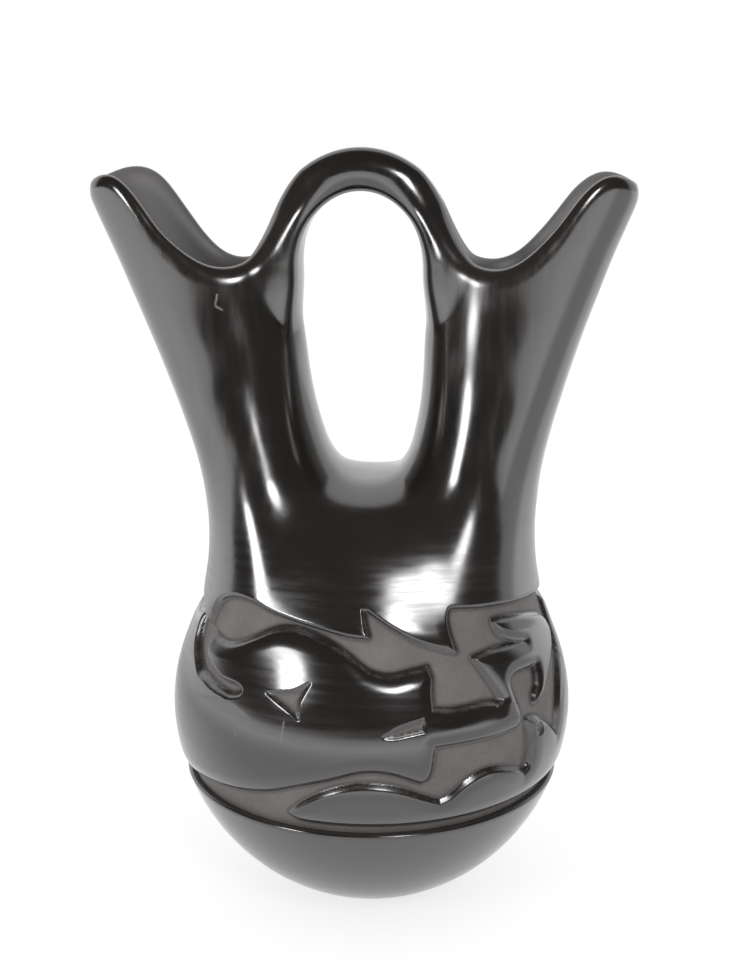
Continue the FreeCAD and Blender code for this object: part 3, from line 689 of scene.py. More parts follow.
def carved_wall():
    """The carved outside and the inside of the belly and the shoulder, on one grid."""
    shape = bpy.context.scene.jar_sizes
    base, band, top = shape.base_top / MM, shape.band_top / MM, shape.shoulder_top / MM
    degrees = -180 + 360 * np.arange(ROUND_COLUMNS) / ROUND_COLUMNS
    angles = np.radians(degrees)
    heights = np.concatenate([
        np.linspace(base, band, BELLY_ROWS + 1),
        np.linspace(band, top, SHOULDER_ROWS + 1)[1:],
    ])
    radius = radial_root(outer_skin, angles, heights, body_radius(heights) + 1.0)
    points = around(radius, angles, heights[:, None])
    outward = slope_of(outer_skin, points.reshape(-1, 3)).reshape(points.shape)
    level = np.hypot(outward[..., 0], outward[..., 1])
    raw = band_distance(degrees, heights)
    away, figures, slot, small = raw
    lengths = along_wall(heights)
    spans = BAND_RADIUS * np.radians(360 / ROUND_COLUMNS)
    fall_up = np.gradient(away, lengths, axis=0)
    fall_round = (np.roll(away, -1, axis=1) - np.roll(away, 1, axis=1)) / (2 * spans)
    shift_round, shift_up = np.zeros_like(away), np.zeros_like(away)
    steep = fall_up**2 + fall_round**2
    for place in (0.0, WALL_RUN):
        near = (np.abs(away - place) < SNAP) & (steep > SNAP_STEEP[0]) & (steep < SNAP_STEEP[1])
        gap = np.where(near, place - away, 0) / np.maximum(steep, SNAP_STEEP[0])
        shift_round += gap * fall_round
        shift_up += gap * fall_up
        away = np.where(near, place, away)
    held = np.ones(len(heights))
    held[[0, BELLY_ROWS, -1]] = 0
    shift_up *= held[:, None]
    shift_round = np.clip(shift_round, -0.49 * spans, 0.49 * spans)
    rise = shift_up * (np.gradient(heights) / np.gradient(lengths))[:, None]
    turn = shift_round / BAND_RADIUS
    radius = (radius + np.gradient(radius, heights, axis=0) * rise
              + (np.roll(radius, -1, 1) - np.roll(radius, 1, 1)) * shift_round / (2 * spans))
    where = angles + turn
    fields = (away, figures, slot, small)
    depth = carve_depth(*fields, heights)
    points = around(radius, where, heights[:, None] + rise)
    points[..., :2] -= outward[..., :2] * (depth / level**2)[..., None]
    normals = carved_normals(outward, angles, fields, raw, heights, lengths, radius)
    inner_angles = angles[::INNER_STEP]
    inner_rows = np.linspace(0, BELLY_ROWS, INNER_ROWS + 1).round().astype(int)
    inner_heights = np.concatenate([heights[inner_rows], [(band + top) / 2, top]])
    inner_radius = radial_root(hollow, inner_angles, inner_heights,
                               body_radius(inner_heights) - WALL)
    inner = around(inner_radius, inner_angles, inner_heights[:, None])
    return {"points": points, "normals": normals, "away": away, "small": small, "inner": inner}


def ring_piece(name, wall, rows, inner_rows, columns):
    """A closed piece of the carved wall between two rows, all round or over a run of columns."""
    whole = columns is None
    picked = np.arange(ROUND_COLUMNS) if whole else columns
    outer, normals, away, small = (
        wall[key][rows[0]:rows[1] + 1][:, picked] for key in ("points", "normals", "away", "small"))
    small = 1 - ease(*SMALL_RUN, small)
    inside = wall["inner"][inner_rows[0]:inner_rows[1] + 1][:, picked[::INNER_STEP] // INNER_STEP]
    height, width = outer.shape[:2]
    inner_height, inner_width = inside.shape[:2]
    shift = height * width
    numbers = np.arange(shift).reshape(height, width)
    inner_numbers = shift + np.arange(inner_height * inner_width).reshape(inner_height, inner_width)

    def quads(grid, flip):
        right = np.roll(grid, -1, axis=1) if whole else grid[:, 1:]
        left = grid if whole else grid[:, :-1]
        loop = [left[:-1], right[:-1], right[1:], left[1:]]
        if flip:
            loop = loop[::-1]
        return np.stack(loop, -1).reshape(-1, 4)

    def cap(outer_row, inner_row, flip):
        triangles = []
        spans = len(inner_row) if whole else len(inner_row) - 1
        for j in range(spans):
            one, two = inner_row[j], inner_row[(j + 1) % len(inner_row)]
            run = [outer_row[(INNER_STEP * j + k) % len(outer_row)] for k in range(INNER_STEP + 1)]
            half = INNER_STEP // 2
            triangles += [(run[k], run[k + 1], one) for k in range(half)]
            triangles.append((run[half], two, one))
            triangles += [(run[k], run[k + 1], two) for k in range(half, INNER_STEP)]
        triangles = np.array(triangles)
        return triangles[:, ::-1] if flip else triangles

    smooth = [quads(numbers, False), quads(inner_numbers, True)]
    flat = [cap(numbers[-1], inner_numbers[-1], False), cap(numbers[0], inner_numbers[0], True)]
    if not whole:
        flat.append(np.concatenate([numbers[:, 0][::-1], inner_numbers[:, 0]])[None])
        flat.append(np.concatenate([numbers[:, -1], inner_numbers[:, -1][::-1]])[None])
    inner_points = inside.reshape(-1, 3)
    points = np.concatenate([outer.reshape(-1, 3), inner_points])
    toward = -slope_of(hollow, inner_points)
    all_normals = np.concatenate([normals.reshape(-1, 3), toward])
    shares = {
        "ground": ease(*GROUND_RUN, away) * (1 - small) + ease(*SMALL_GROUND_RUN, away) * small,
        "edge": 1 - ease(0.0, EDGE_REACH, np.abs(away)),
        # Painted shade: a dark band over the lower carved walls and along their foot
        "painted_wall_shade": (ease(*WALL_START, away) * (1 - ease(*WALL_END, away))
                     * (1 - SMALL_WALL_SHARE * small)),
    }
    shares = {key: np.concatenate([share.ravel(), np.zeros(len(inner_points))])
              for key, share in shares.items()}
    return make_piece(name, points, smooth + flat, all_normals,
                      sum(len(group) for group in smooth), shares)


# Upper part: one net over the distance field, cut at the joints

def near_signs(form, xs, ys, zs, cell):
    """Which grid points lie in the clay, worked out in full only in the blocks near its surface."""
    sizes = [len(xs), len(ys), len(zs)]
    coarse = [np.minimum(np.arange(-(-n // BLOCK)) * BLOCK + BLOCK // 2, n - 1) for n in sizes]
    middle = form(xs[coarse[0]][:, None, None], ys[coarse[1]][None, :, None],
                  zs[coarse[2]][None, None, :])
    near = np.abs(middle) < BLOCK * cell * BLOCK_MARGIN

    def spread(blocks):
        for axis in range(3):
            blocks = np.repeat(blocks, BLOCK, axis=axis)
        return blocks[:sizes[0], :sizes[1], :sizes[2]]

    inside = spread(middle < 0)
    i, j, k = np.nonzero(spread(near))
    inside[i, j, k] = form(xs[i], ys[j], zs[k]) < 0
    return inside


def surface_net(form, xs, ys, zs, cell):
    """A mesh of quads over the zero surface of a form, drawn close to it."""
    inside = near_signs(form, xs, ys, zs, cell)
    shape = tuple(n - 1 for n in inside.shape)
    total = np.zeros(shape, np.int8)
    for i in (0, 1):
        for j in (0, 1):
            for k in (0, 1):
                total += inside[i:i + shape[0], j:j + shape[1], k:k + shape[2]]
    mixed = (total > 0) & (total < 8)
    index = np.full(shape, -1, np.int64)
    index[mixed] = np.arange(mixed.sum())
    i, j, k = np.nonzero(mixed)
    centres = np.stack([xs[i], ys[j], zs[k]], 1) + cell / 2
    points = centres.copy()
    for _ in range(4):
        rise = rise_of(form, points)
        steep = np.maximum((rise**2).sum(1), LEAST_RISE**2)
        points -= rise * (form(*points.T) / steep)[:, None]
        points = centres + np.clip(points - centres, -CELL_REACH * cell, CELL_REACH * cell)
    faces = []
    for axis in range(3):
        near = np.take(inside, range(shape[axis]), axis)
        far = np.take(inside, range(1, shape[axis] + 1), axis)
        others = [a for a in range(3) if a != axis]
        cut = [slice(None)] * 3
        for other in others:
            cut[other] = slice(1, -1)
        near, far = near[tuple(cut)], far[tuple(cut)]
        where = np.stack(np.nonzero(near != far), 1)
        if not len(where):
            continue
        going_out = near[tuple(where.T)]
        corner = where.copy()
        corner[:, others[0]] += 1
        corner[:, others[1]] += 1
        step_a, step_b = np.zeros(3, int), np.zeros(3, int)
        step_a[others[0]], step_b[others[1]] = 1, 1
        loop = [corner, corner - step_a, corner - step_a - step_b, corner - step_b]
        quad = np.stack([index[tuple(c.T)] for c in loop], 1)
        flip = ~going_out if axis == 1 else going_out
        quad[~flip] = quad[~flip][:, ::-1]
        faces.append(quad)
    quads = np.concatenate(faces)
    return points, quads[(quads >= 0).all(1)]


def upper_form(x, y, z):
    """The jar above the shoulder's joint, closed a little below it."""
    return np.maximum(jar_form(x, y, z), UPPER_FLOOR - z)


def box_mesh(low, high):
    """A box between two corners, in mm."""
    (x0, y0, z0), (x1, y1, z1) = low, high
    corners = [(x, y, z) for z in (z0, z1) for y in (y0, y1) for x in (x0, x1)]
    quads = [(0, 2, 3, 1), (4, 5, 7, 6), (0, 1, 5, 4), (2, 6, 7, 3), (0, 4, 6, 2), (1, 3, 7, 5)]
    mesh = bpy.data.meshes.new("cutter")
    mesh.from_pydata([Vector(c) * MM for c in corners], [], quads)
    return mesh


def cut_with(piece, operation, low, high):
    """Keep or take away what a box holds of a closed piece."""
    cutter = bpy.data.objects.new("cutter", box_mesh(low, high))
    bpy.context.scene.collection.objects.link(cutter)
    change = piece.modifiers.new("cut", "BOOLEAN")
    change.operation = operation
    change.solver = "MANIFOLD"
    change.object = cutter
    bpy.context.view_layer.update()
    result = bpy.data.meshes.new_from_object(
        piece.evaluated_get(bpy.context.evaluated_depsgraph_get()))
    piece.modifiers.clear()
    old = piece.data
    piece.data = result
    bpy.data.meshes.remove(old)
    old = cutter.data
    bpy.data.objects.remove(cutter)
    bpy.data.meshes.remove(old)
    top = max(corner[2] for corner in piece.bound_box)
    if operation == "INTERSECT" and top > (high[2] + 1) * MM:
        raise RuntimeError(piece.name + " wasn't cut")


def shade_from_form(piece, form):
    """Normals of the form on its surface, and flat ones on the joints."""
    mesh = piece.data
    points = read_vectors(mesh.vertices, "co").astype(float) / MM
    middles = read_vectors(mesh.polygons, "center").astype(float) / MM
    flat = read_vectors(mesh.polygons, "normal")
    normals = slope_of(form, points)
    corners = np.zeros(len(mesh.loops), np.int32)
    mesh.loops.foreach_get("vertex_index", corners)
    counts = np.zeros(len(mesh.polygons), np.int32)
    mesh.polygons.foreach_get("loop_total", counts)
    facing = (slope_of(form, middles) * flat).sum(1)
    on_form = (facing > ON_FORM[0]) & (np.abs(form(*middles.T)) < ON_FORM[1])
    per_corner = np.repeat(flat, counts, axis=0)
    taken = np.repeat(on_form, counts)
    per_corner[taken] = normals[corners[taken]]
    mesh.polygons.foreach_set("use_smooth", np.ones(len(mesh.polygons), bool))
    mesh.normals_split_custom_set(per_corner)
    layer = mesh.attributes.new("inside", "FLOAT", "POINT")
    layer.data.foreach_set("value", ease(*INSIDE_RUN, -outer_skin(*points.T)).astype(np.float32))


# Shader nodes

class Tree:
    """Short hands for building a node tree."""

    def __init__(self, tree):
        self.tree = tree

    def add(self, kind, **settings):
        node = self.tree.nodes.new(kind)
        for key, value in settings.items():
            setattr(node, key, value)
        return node

    def link(self, source, target):
        if isinstance(source, (int, float)):
            target.default_value = source
        elif isinstance(source, (tuple, list)):
            target.default_value = tuple(source)
        else:
            self.tree.links.new(source, target)

    def math(self, operation, first, second=0.0, clamp=False):
        node = self.add("ShaderNodeMath", operation=operation, use_clamp=clamp)
        self.link(first, node.inputs[0])
        self.link(second, node.inputs[1])
        return node.outputs[0]

    def times(self, first, second):
        return self.math("MULTIPLY", first, second)

    def plus(self, first, second, clamp=False):
        return self.math("ADD", first, second, clamp)

    def minus(self, first, second):
        return self.math("SUBTRACT", first, second)

    def bump(self, strength, distance):
        node = self.add("ShaderNodeBump")
        self.link(strength, node.inputs["Strength"])
        self.link(distance, node.inputs["Distance"])
        return node

    def root(self, value):
        return self.math("SQRT", value)

    def attribute(self, label):
        return self.add("ShaderNodeAttribute", attribute_name=label).outputs["Fac"]

    def place(self, kind="Object"):
        return self.add("ShaderNodeTexCoord").outputs[kind]

    def axes(self, vector):
        node = self.add("ShaderNodeSeparateXYZ")
        self.link(vector, node.inputs[0])
        return node.outputs

    def range(self, value, low, high, to_low=0.0, to_high=1.0, kind="SMOOTHSTEP"):
        node = self.add("ShaderNodeMapRange", interpolation_type=kind)
        for source, name in ((value, "Value"), (low, "From Min"), (high, "From Max"),
                             (to_low, "To Min"), (to_high, "To Max")):
            self.link(source, node.inputs[name])
        return node.outputs["Result"]

    def mix(self, factor, first, second):
        node = self.add("ShaderNodeMix", data_type="RGBA")
        self.link(factor, node.inputs[0])
        self.link(first, node.inputs[6])
        self.link(second, node.inputs[7])
        return node.outputs[2]

    def mix_value(self, factor, first, second):
        node = self.add("ShaderNodeMix", data_type="FLOAT")
        self.link(factor, node.inputs[0])
        self.link(first, node.inputs[2])
        self.link(second, node.inputs[3])
        return node.outputs[0]

    def noise(self, vector, scale, detail=2.0, roughness=0.5):
        node = self.add("ShaderNodeTexNoise")
        self.link(vector, node.inputs["Vector"])
        self.link(scale, node.inputs["Scale"])
        self.link(detail, node.inputs["Detail"])
        self.link(roughness, node.inputs["Roughness"])
        return node.outputs["Fac"]

    def combine(self, x, y, z):
        node = self.add("ShaderNodeCombineXYZ")
        for source, target in zip((x, y, z), node.inputs):
            self.link(source, target)
        return node.outputs[0]


def shader_group(name, inputs, outputs):
    """An empty shader node group with named sockets."""
    tree = bpy.data.node_groups.new(name, "ShaderNodeTree")
    for label, kind, default in inputs:
        socket = tree.interface.new_socket(label, in_out="INPUT", socket_type=kind)
        if default is not None:
            socket.default_value = default
    for label, kind in outputs:
        tree.interface.new_socket(label, in_out="OUTPUT", socket_type=kind)
    helper = Tree(tree)
    return helper, helper.add("NodeGroupInput"), helper.add("NodeGroupOutput")


def burnish_group():
    """Strokes of the polishing stone: round the belly, and up and down the spouts."""
    t, given, out = shader_group(
        "burnish_strokes",
        [("Vector", "NodeSocketVector", None), ("Neck Height", "NodeSocketFloat", 0.13),
         ("Stroke Scale", "NodeSocketFloat", 1.0)],
        [("Strokes", "NodeSocketFloat"), ("Patches", "NodeSocketFloat"),
         ("Height", "NodeSocketFloat")])
    x, y, z = t.axes(given.outputs["Vector"])
    angle = t.math("ARCTAN2", x, t.times(y, -1.0))
    round_belly = t.combine(t.times(angle, 2.4), t.times(z, 520.0), 0.0)
    up_spout = t.combine(t.times(x, 380.0), t.times(y, 380.0), t.times(z, 40.0))
    scale = given.outputs["Stroke Scale"]
    belly = t.noise(round_belly, scale, 3.0, 0.6)
    spout = t.noise(up_spout, scale, 3.0, 0.6)
    height = given.outputs["Neck Height"]
    upper = t.range(z, t.minus(height, 0.012), t.plus(height, 0.03))
    strokes = t.mix_value(upper, belly, spout)
    patches = t.noise(given.outputs["Vector"], 26.0, 3.0, 0.55)
    slow = t.noise(given.outputs["Vector"], 75.0, 1.0, 0.5)
    t.link(strokes, out.inputs["Strokes"])
    t.link(patches, out.inputs["Patches"])
    t.link(t.plus(t.times(strokes, 0.12), t.times(slow, 1.2)), out.inputs["Height"])
    return t.tree


def speck_group():
    """Pale specks of dust and tiny pits in the polish."""
    t, given, out = shader_group(
        "specks",
        [("Vector", "NodeSocketVector", None), ("Scale", "NodeSocketFloat", 260.0),
         ("Amount", "NodeSocketFloat", 0.02)],
        [("Mask", "NodeSocketFloat")])
    cells = t.add("ShaderNodeTexVoronoi")
    t.link(given.outputs["Vector"], cells.inputs["Vector"])
    t.link(given.outputs["Scale"], cells.inputs["Scale"])
    chosen = t.add("ShaderNodeSeparateColor")
    t.link(cells.outputs["Color"], chosen.inputs[0])
    picked = t.math("LESS_THAN", chosen.outputs[0], given.outputs["Amount"])
    small = t.range(cells.outputs["Distance"], 0.03, 0.11, 1.0, 0.0)
    t.link(t.times(picked, small), out.inputs["Mask"])
    return t.tree


def scratch_group():
    """A short light scratch from one point to another."""
    t, given, out = shader_group(
        "scratch",
        [("Vector", "NodeSocketVector", None), ("Start", "NodeSocketVector", (0, 0, 0)),
         ("End", "NodeSocketVector", (0, 0, 0)), ("Width", "NodeSocketFloat", 0.0004)],
        [("Mask", "NodeSocketFloat")])

    def vector(operation, first, second):
        node = t.add("ShaderNodeVectorMath", operation=operation)
        t.link(first, node.inputs[0])
        t.link(second, node.inputs[1])
        return node

    run = vector("SUBTRACT", given.outputs["End"], given.outputs["Start"]).outputs[0]
    off = vector("SUBTRACT", given.outputs["Vector"], given.outputs["Start"]).outputs[0]
    along = t.math("DIVIDE", vector("DOT_PRODUCT", off, run).outputs["Value"],
                   vector("DOT_PRODUCT", run, run).outputs["Value"], clamp=True)
    scaled = t.add("ShaderNodeVectorMath", operation="SCALE")
    t.link(run, scaled.inputs[0])
    t.link(along, scaled.inputs["Scale"])
    gap = vector("DISTANCE", off, scaled.outputs[0]).outputs["Value"]
    ragged = t.noise(given.outputs["Vector"], 2600.0, 2.0, 0.7)
    near = t.range(gap, 0.0, given.outputs["Width"], 1.0, 0.0)
    t.link(t.times(near, t.range(ragged, 0.4, 0.6)), out.inputs["Mask"])
    return t.tree


GROUPS = {}


def opaque(colour):
    return tuple(colour) + (1,)


def burnished_clay(name, finish, carved):
    """Polished blackware. On the carved belly the ground between the figures is matte."""
    material = bpy.data.materials.new(name)
    material.use_nodes = True
    t = Tree(material.node_tree)
    shader = material.node_tree.nodes["Principled BSDF"]
    place = t.place()

    def grouped(tree, **values):
        node = t.add("ShaderNodeGroup", node_tree=tree)
        t.link(place, node.inputs["Vector"])
        for key, value in values.items():
            t.link(value, node.inputs[key.replace("_", " ")])
        return node

    strokes = grouped(group(burnish_group))
    specks = grouped(group(speck_group))
    patch = t.range(strokes.outputs["Patches"], 0.3, 0.7)
    colour = t.mix(patch, opaque(finish.slip), opaque(finish.slip_worn))
    rough = t.range(strokes.outputs["Strokes"], 0.32, 0.7, finish.polish_roughness,
                    finish.stroke_roughness)
    clouded = t.times(t.range(strokes.outputs["Patches"], 0.48, 0.72),
                      t.range(strokes.outputs["Strokes"], 0.35, 0.65, 0.6, 1.0))
    rough = t.plus(rough, t.times(clouded, CLOUD_ROUGHNESS))
    pale = specks.outputs["Mask"]
    for start, end, width in SCRATCHES:
        mark = grouped(group(scratch_group), Start=start, End=end, Width=width)
        pale = t.math("MAXIMUM", pale, mark.outputs["Mask"])
    colour = t.mix(t.times(pale, DUST_SHARE), colour, opaque(finish.dust))
    rough = t.mix_value(pale, rough, DUST_ROUGHNESS)
    height = strokes.outputs["Height"]
    hidden = t.attribute("inside")
    colour = t.mix(hidden, colour, opaque(finish.inner))
    rough = t.mix_value(hidden, rough, INNER_ROUGHNESS)
    bump = t.bump(*POLISH_BUMP)
    if carved:
        ground = t.attribute("ground")
        edge = t.attribute("edge")
        painted_wall_shade = t.attribute("painted_wall_shade")
        grain = t.noise(place, 1500.0, 3.0, 0.65)
        cloud = t.noise(place, 90.0, 3.0, 0.6)
        matte = t.mix(t.range(cloud, 0.3, 0.7), opaque(finish.ground), opaque(finish.ground_pale))
        matte = t.mix(t.range(grain, 0.5, 0.75, 0.0, GRIT_SHARE), matte, opaque(finish.grit))
        # Painted shade on the lower carved walls and along their foot
        matte = t.mix(t.times(painted_wall_shade, WALL_SHADE_SHARE), matte, opaque(finish.painted_wall_shade))
        worn = t.range(t.noise(place, 420.0, 2.0, 0.6), 0.42, 0.62)
        rub = t.times(t.times(edge, worn), RUB_SHARE)
        colour = t.mix(ground, colour, matte)
        colour = t.mix(rub, colour, opaque(finish.rubbed))
        rough = t.mix_value(t.times(edge, EDGE_SHARE), rough, EDGE_ROUGHNESS)
        ground_rough = t.range(grain, 0.3, 0.7, *GROUND_ROUGHNESS)
        rough = t.mix_value(ground, rough, ground_rough)
        relief = t.bump(*GROUND_BUMP)
        scored = t.plus(grain, t.times(t.noise(place, 330.0, 2.0, 0.6), 1.5))
        t.link(t.times(scored, ground), relief.inputs["Height"])
        t.link(relief.outputs[0], bump.inputs["Normal"])
        height = t.times(height, t.minus(1.0, ground))
    t.link(height, bump.inputs["Height"])
    t.link(colour, shader.inputs["Base Color"])
    t.link(rough, shader.inputs["Roughness"])
    t.link(bump.outputs[0], shader.inputs["Normal"])
    shader.inputs["IOR"].default_value = IOR
    return material


def group(make):
    """A shader node group, built on first use."""
    if make not in GROUPS:
        GROUPS[make] = make()
    return GROUPS[make]


def clay(carved=False):
    """The material of a piece, built on first use."""
    name = "carved_blackware" if carved else "polished_blackware"
    if name not in bpy.data.materials:
        return burnished_clay(name, bpy.context.scene.jar_finish, carved)
    return bpy.data.materials[name]


# Sizes and colours

def node_top(node):
    """Height of the top of a CAD node, in metres."""
    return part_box(node)[1].z


def amount(label, words, default, **kind):
    return FloatProperty(name=label, description=words, default=default, **kind)


def length(label, words, default):
    return amount(label, words, default, unit="LENGTH")


def turning(label, words, default):
    return amount(label, words, default, unit="ROTATION")


def share(label, words, default):
    return amount(label, words, default, min=0, max=1)


def tint(label, words, default):
    return FloatVectorProperty(name=label, description=words, default=default, subtype="COLOR")


class JarSizes(bpy.types.PropertyGroup):
    """Sizes that the pieces share."""
    foot_radius: length("Foot radius", "Radius of the flat foot", 0.0165)
    belly_radius: length("Belly radius", "Radius at the belly's widest", 0.068)
    belly_height: length("Belly height", "Height of the belly's widest", 0.069)
    base_top: length("Base top", "Top of the pressed base bowl", node_top("base_bowl"))
    band_top: length("Band top", "Joint of belly and shoulder", node_top("carved_belly"))
    shoulder_top: length("Shoulder top", "Joint of shoulder and neck", node_top("shoulder"))
    crotch_height: length("Crotch height", "Joint of neck and spouts", node_top("neck"))
    seat_height: length("Handle seat", "Joint of spouts and handle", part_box("stirrup_handle")[0].z)
    wall: length("Wall", "Thickness of the lower walls", 0.007)
    floor: length("Floor", "Thickness of the floor", 0.008)
    bowl_edge: length("Bowl edge", "Rounding of the base bowl's upper edge", 0.0005)
    cell: length("Net cell", "Cell of the net over the upper part", 0.0008)
    bowl_columns: IntProperty(name="Bowl columns", description="Sides of the base bowl",
                              default=288, min=32)


class JarFinish(bpy.types.PropertyGroup):
    """Colours and polish of the clay, and the painted shade on the carved walls."""
    slip: tint("Slip", "Colour of the polished slip", (0.0132, 0.0108, 0.0093))
    slip_worn: tint("Worn slip", "Colour where the slip is thin", (0.0215, 0.0174, 0.0149))
    ground: tint("Ground", "Colour of the matte carved ground", (0.106, 0.094, 0.089))
    ground_pale: tint("Pale ground", "Paler parts of the ground", (0.145, 0.131, 0.126))
    # Painted shade: the dark colour laid on the lower carved walls and their foot
    painted_wall_shade: tint("Painted wall shade", "Colour of the carved walls", (0.026, 0.021, 0.018))
    dust: tint("Dust", "Colour of specks and scratches", (0.32, 0.28, 0.25))
    grit: tint("Grit", "Palest grains of the ground", (0.13, 0.115, 0.108))
    rubbed: tint("Rubbed edge", "Colour of worn carved edges", (0.20, 0.175, 0.16))
    inner: tint("Inner clay", "Unpolished clay inside the spouts", (0.122, 0.114, 0.111))
    polish_roughness: share("Polish", "Roughness of the best polish", 0.135)
    stroke_roughness: share("Strokes", "Roughness between the strokes", 0.20)


class JarStage(bpy.types.PropertyGroup):
    """Camera and light."""
    camera_distance: length("Distance", "Level distance from the axis", 0.498)
    camera_height: length("Height", "Height of the camera", 0.2675)
    camera_pitch: turning("Pitch", "How far the camera looks down", math.radians(14.2))
    camera_turn: turning("Turn", "How far the camera stands to the right", math.radians(4.5))
    lens: amount("Lens", "Focal length on a 36 mm frame", 56.27)
    left_wall: amount("Left wall", "Reflected white on the left", 0.95)
    right_wall: amount("Right wall", "Reflected white on the right", 0.75)
    back_wall: amount("Back wall", "Reflected white behind the jar", 1.25)
    room: amount("Room", "Reflected room in front", 0.036)
    table: amount("Table", "Reflected white of the table", 0.95)
    # Painted shade in the floor's glow beside the jar's foot
    near_table: amount("Near table", "Its white beside the jar's foot", 0.52)
    left_power: amount("Left lamp", "Power of the left soft box", 1.65)
    right_power: amount("Right lamp", "Power of the right soft box", 1.85)


# Operators

class JAR_OT_base_bowl(bpy.types.Operator):
    """Make the pressed base bowl, turned by a node tree"""
    bl_idname = "jar.base_bowl"
    bl_label = "Base bowl"

    def execute(self, context):
        sizes = context.scene.jar_sizes
        tree = bowl_tree()
        mesh = bpy.data.meshes.new("base_bowl")
        piece = bpy.data.objects.new("base_bowl_piece", mesh)
        context.scene.collection.objects.link(piece)
        material = clay()
        change = piece.modifiers.new("turned_bowl", "NODES")
        change.node_group = tree
        given = {"Foot Radius": sizes.foot_radius, "Belly Radius": sizes.belly_radius,
                 "Belly Height": sizes.belly_height, "Top": sizes.base_top, "Wall": sizes.wall,
                 "Floor": sizes.floor, "Edge": sizes.bowl_edge, "Columns": sizes.bowl_columns,
                 "Material": material}
        for item in tree.interface.items_tree:
            if item.item_type == "SOCKET" and item.in_out == "INPUT" and item.name in given:
                change[item.identifier] = given[item.name]
        context.view_layer.update()
        evaluated = piece.evaluated_get(context.evaluated_depsgraph_get())
        made = bpy.data.meshes.new_from_object(evaluated)
        piece.modifiers.clear()
        piece.data = made
        bpy.data.meshes.remove(mesh)
        if len(made.polygons) < 100:
            raise RuntimeError("the node tree gave no bowl")
        close_and_face_out(piece)
        settle(piece, ["base_bowl"], material)
        return {"FINISHED"}


def bowl_tree():
    """Node tree that turns the bowl's outline round the upright axis."""
    tree = bpy.data.node_groups.new("turned_bowl", "GeometryNodeTree")
    sockets = (("Foot Radius", "Float", 0.0165), ("Belly Radius", "Float", 0.068),
               ("Belly Height", "Float", 0.069), ("Top", "Float", 0.046), ("Wall", "Float", 0.007),
               ("Floor", "Float", 0.008), ("Edge", "Float", 0.0012), ("Rows", "Int", 150),
               ("Columns", "Int", 288))
    for label, kind, default in sockets:
        socket = tree.interface.new_socket(label, in_out="INPUT", socket_type="NodeSocket" + kind)
        socket.default_value = default
    tree.interface.new_socket("Material", in_out="INPUT", socket_type="NodeSocketMaterial")
    tree.interface.new_socket("Geometry", in_out="OUTPUT", socket_type="NodeSocketGeometry")
    t = Tree(tree)
    given = t.add("NodeGroupInput").outputs
    out = t.add("NodeGroupOutput")
    rows = given["Rows"]
    line = t.add("GeometryNodeMeshLine")
    t.link(rows, line.inputs["Count"])
    share = t.math("DIVIDE", t.add("GeometryNodeInputIndex").outputs[0], t.minus(rows, 1.0))
    foot_end, side_end, seat_end, inside_end = 0.05, 0.55, 0.60, 0.93
    out_foot = t.range(share, 0.0, foot_end, kind="LINEAR")
    rise = t.range(share, foot_end, side_end, kind="LINEAR")
    seat = t.range(share, side_end, seat_end, kind="LINEAR")
    fall = t.range(share, seat_end, inside_end, kind="LINEAR")
    to_axis = t.range(share, inside_end, 1.0, 1.0, 0.0, kind="LINEAR")
    top, wall, edge = given["Top"], given["Wall"], given["Edge"]
    climbed = t.times(t.math("POWER", rise, 1.5), top)
    fallen = t.minus(1.0, t.math("POWER", t.minus(1.0, fall), 1.5))
    drop = t.times(fallen, t.minus(top, given["Floor"]))
    height = t.minus(climbed, drop)
    across = t.minus(given["Belly Radius"], given["Foot Radius"])
    square = t.plus(t.times(across, across),
                    t.times(given["Belly Height"], given["Belly Height"]))
    arc = t.math("DIVIDE", square, t.times(across, 2.0))
    centre = t.minus(given["Belly Radius"], arc)
    reach = t.minus(arc, t.times(seat, wall))
    below = t.minus(height, given["Belly Height"])
    radius = t.plus(centre, t.root(t.minus(t.times(reach, reach), t.times(below, below))))
    radius = t.times(t.times(radius, out_foot), to_axis)
    near_top = t.math("DIVIDE", t.minus(height, t.minus(top, edge)), edge, clamp=True)
    curl = t.minus(1.0, t.root(t.minus(1.0, t.times(near_top, near_top))))
    outer_only = t.minus(1.0, t.plus(seat, fall, clamp=True))
    radius = t.minus(radius, t.times(t.times(curl, edge), outer_only))
    path_radius = given["Foot Radius"]
    profile_place = t.combine(t.minus(radius, path_radius), t.times(height, -1.0), 0.0)
    shaped = t.add("GeometryNodeSetPosition")
    t.link(line.outputs[0], shaped.inputs["Geometry"])
    t.link(profile_place, shaped.inputs["Position"])
    profile = t.add("GeometryNodeMeshToCurve")
    t.link(shaped.outputs[0], profile.inputs[0])
    path = t.add("GeometryNodeCurvePrimitiveCircle", mode="RADIUS")
    t.link(given["Columns"], path.inputs["Resolution"])
    t.link(path_radius, path.inputs["Radius"])
    turned = t.add("GeometryNodeCurveToMesh")
    t.link(path.outputs[0], turned.inputs["Curve"])
    t.link(profile.outputs[0], turned.inputs["Profile Curve"])
    merged = t.add("GeometryNodeMergeByDistance")
    t.link(turned.outputs[0], merged.inputs["Geometry"])
    merged.inputs["Distance"].default_value = 0.00001
    smooth = t.add("GeometryNodeSetShadeSmooth")
    t.link(merged.outputs[0], smooth.inputs["Geometry"])
    real = t.add("GeometryNodeRealizeInstances")
    t.link(smooth.outputs[0], real.inputs[0])
    coloured = t.add("GeometryNodeSetMaterial")
    t.link(real.outputs[0], coloured.inputs["Geometry"])
    t.link(given["Material"], coloured.inputs["Material"])
    t.link(coloured.outputs[0], out.inputs[0])
    return tree


def close_and_face_out(piece):
    """Merge doubles and turn all faces outward."""
    work = bmesh.new()
    work.from_mesh(piece.data)
    bmesh.ops.remove_doubles(work, verts=work.verts, dist=0.00001)
    loose = [edge for edge in work.edges if not edge.link_faces]
    bmesh.ops.delete(work, geom=loose, context="EDGES")
    bmesh.ops.recalc_face_normals(work, faces=work.faces)
    work.to_mesh(piece.data)
    work.free()


